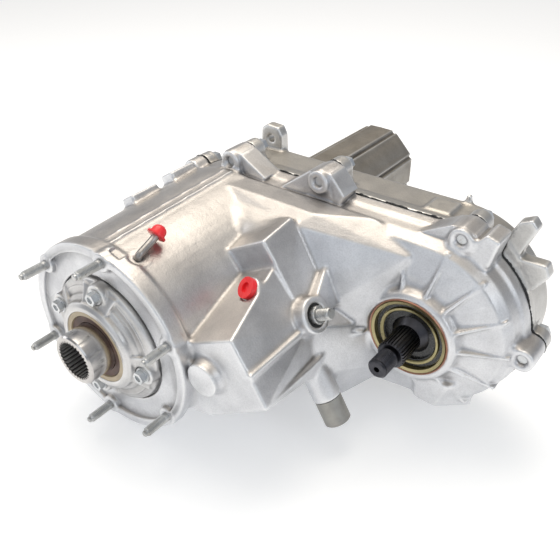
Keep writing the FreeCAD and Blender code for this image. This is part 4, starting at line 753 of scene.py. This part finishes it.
seal_y = 176.0
liner = ring_section("output_seal_throat", [(16.4, 8.0), (27.4, 8.0), (28.0, 4.9), (28.9, 4.9), (28.5, 9.3), (16.4, 9.3)], (FX, seal_y, FZ))
place(liner, "oily")
groove = ring_section("output_seal_groove", [(33.5, 5.6), (37.3, 5.6), (37.3, 6.3), (33.5, 6.3)], (FX, seal_y, FZ))
place(groove, "oily")

hub_gap = ring_section("input_seal_throat", [(27.9, 1.7), (35.0, 1.3), (35.2, 2.3), (31.2, 2.3), (31.1, 5.6), (27.9, 6.4)], (0.0, -13.2, 0.0))
place(hub_gap, "rust")

# spline teeth inside the hub
pts, faces = [], []
teeth, y0, y1 = 32, -38.2, 24.0
ringp = []
for k in range(teeth):
    for f, r in ((0.0, 20.1), (0.44, 20.1), (0.56, 22.0), (0.88, 22.0)):
        w = 2 * math.pi * (k + f) / teeth
        ringp.append((r, w))
m = len(ringp)
for y in (y0, y1):
    for r, w in ringp:
        pts.append((r * math.cos(w) / 1000, y / 1000, r * math.sin(w) / 1000))
    for r, w in ringp:
        pts.append((23.4 * math.cos(w) / 1000, y / 1000, 23.4 * math.sin(w) / 1000))
for k in range(m):
    k2 = (k + 1) % m
    faces.append((k, k2, 2 * m + k2, 2 * m + k))
    faces.append((m + k, 3 * m + k, 3 * m + k2, m + k2))
    faces.append((k, m + k, m + k2, k2))
    faces.append((2 * m + k, 2 * m + k2, 3 * m + k2, 3 * m + k))
bore = build("hub_spline_teeth", pts, faces, 0.4)
place(bore, "bore", "input")

# soft cap on the vent tube
pts, faces = [], []
cap_at = np.array((37.2, 59.0, 116.3))
cap_dir = np.array((0.0, 0.861, 0.509))
dome = ([0.0, 0.35, 2.0, 2.5, 7.2, 9.2, 10.8, 11.8, 12.3], [9.0, 9.9, 9.9, 7.7, 7.2, 6.4, 4.6, 2.4, 0.4])
spun(cap_at - cap_dir * 8.0, cap_dir, [0.0, 0.35, 1.2, 2.0, 2.5, 3.4, 5.0, 7.2, 8.2, 9.2, 10.0, 10.8, 11.4, 11.8, 12.3],
     lambda t, w: float(np.interp(t, dome[0], dome[1])), 48, pts, faces)
cap = build("vent_cap_soft", pts, faces, 0.9)
place(cap, "red", instead="vent_cap")

# end of the shift shaft: fluted collar and thread
pts, faces = [], []
flute = lambda t, w: 9.4 - 0.9 * max(0.0, math.cos(9 * w)) ** 2 if 0.8 < t < 6.4 else 8.4
spun(uv(177.2, 116, 53), UX, [0.0, 0.85, 3.0, 6.3, 7.0], flute, 72, pts, faces)
spun(uv(184.0, 116, 53), UX, [0.0] + list(np.arange(0.4, 13.4, 0.21)) + [14.2, 15.0], thread_radius(6.35, 1.25, 0.75, 0.4, 13.2, ([0, 13.4, 15.0], [6.35, 6.35, 5.2])), 28, pts, faces)
shaft_end = build("shift_shaft_thread", pts, faces)
place(shaft_end, "stud", "shift_lever_shaft")

# ------------------------------------------------------------------ stage and lights
lo = min(c[2] for c in cad_box)
bpy.ops.mesh.primitive_plane_add(size=12.0, location=(0.15, 0.2, lo - 0.0005))
floor = bpy.context.object
floor.name = "floor"
fm, fnt, fb = new_mat("floor_paper")
fb.inputs["Base Color"].default_value = (0.86, 0.86, 0.86, 1.0)
fb.inputs["Emission Color"].default_value = (1.0, 1.0, 1.0, 1.0)
fb.inputs["Emission Strength"].default_value = 0.30
fb.inputs["Roughness"].default_value = 0.9
floor.data.materials.append(fm)

world = bpy.data.worlds.new("studio")
scene.world = world
world.use_nodes = True
wn = world.node_tree
wn.nodes.clear()
wo = wn.nodes.new("ShaderNodeOutputWorld")
wb = wn.nodes.new("ShaderNodeBackground")
wn.links.new(wb.outputs[0], wo.inputs[0])
tc = wn.nodes.new("ShaderNodeTexCoord")
sep = wn.nodes.new("ShaderNodeSeparateXYZ")
wn.links.new(tc.outputs["Generated"], sep.inputs[0])
wr = wn.nodes.new("ShaderNodeValToRGB")
wr.color_ramp.elements[0].position = 0.0
wr.color_ramp.elements[0].color = (0.55, 0.60, 0.68, 1)
wr.color_ramp.elements[1].position = 0.9
wr.color_ramp.elements[1].color = (1.0, 0.97, 0.92, 1)
e = wr.color_ramp.elements.new(0.35)
e.color = (0.30, 0.33, 0.38, 1)
wn.links.new(sep.outputs["Z"], wr.inputs[0])
wn.links.new(wr.outputs[0], wb.inputs[0])
wb.inputs[1].default_value = 0.8


def area(name, where, target, size, power, colour, size_y=None):
    d = bpy.data.lights.new(name, "AREA")
    d.shape = "RECTANGLE"
    d.size = size
    d.size_y = size_y or size
    d.energy = power
    d.color = colour
    o = bpy.data.objects.new(name, d)
    scene.collection.objects.link(o)
    o.location = where
    o.rotation_euler = (Vector(target) - Vector(where)).to_track_quat("-Z", "Y").to_euler()
    return o


area("key_top", (-0.3, 0.5, 1.6), (0.15, 0.2, 0.0), 1.4, 16.5, (1.0, 0.94, 0.85))
area("front_soft", (0.2, -1.5, 0.9), (0.15, 0.1, 0.0), 1.2, 4.0, (0.86, 0.93, 1.0))
area("right_soft", (1.7, -0.1, 0.9), (0.2, 0.1, 0.0), 0.9, 5.0, (0.88, 0.94, 1.0))
area("left_strip", (-1.4, -0.5, 0.7), (0.0, 0.1, 0.0), 0.5, 4.5, (1.0, 1.0, 1.0), 1.4)
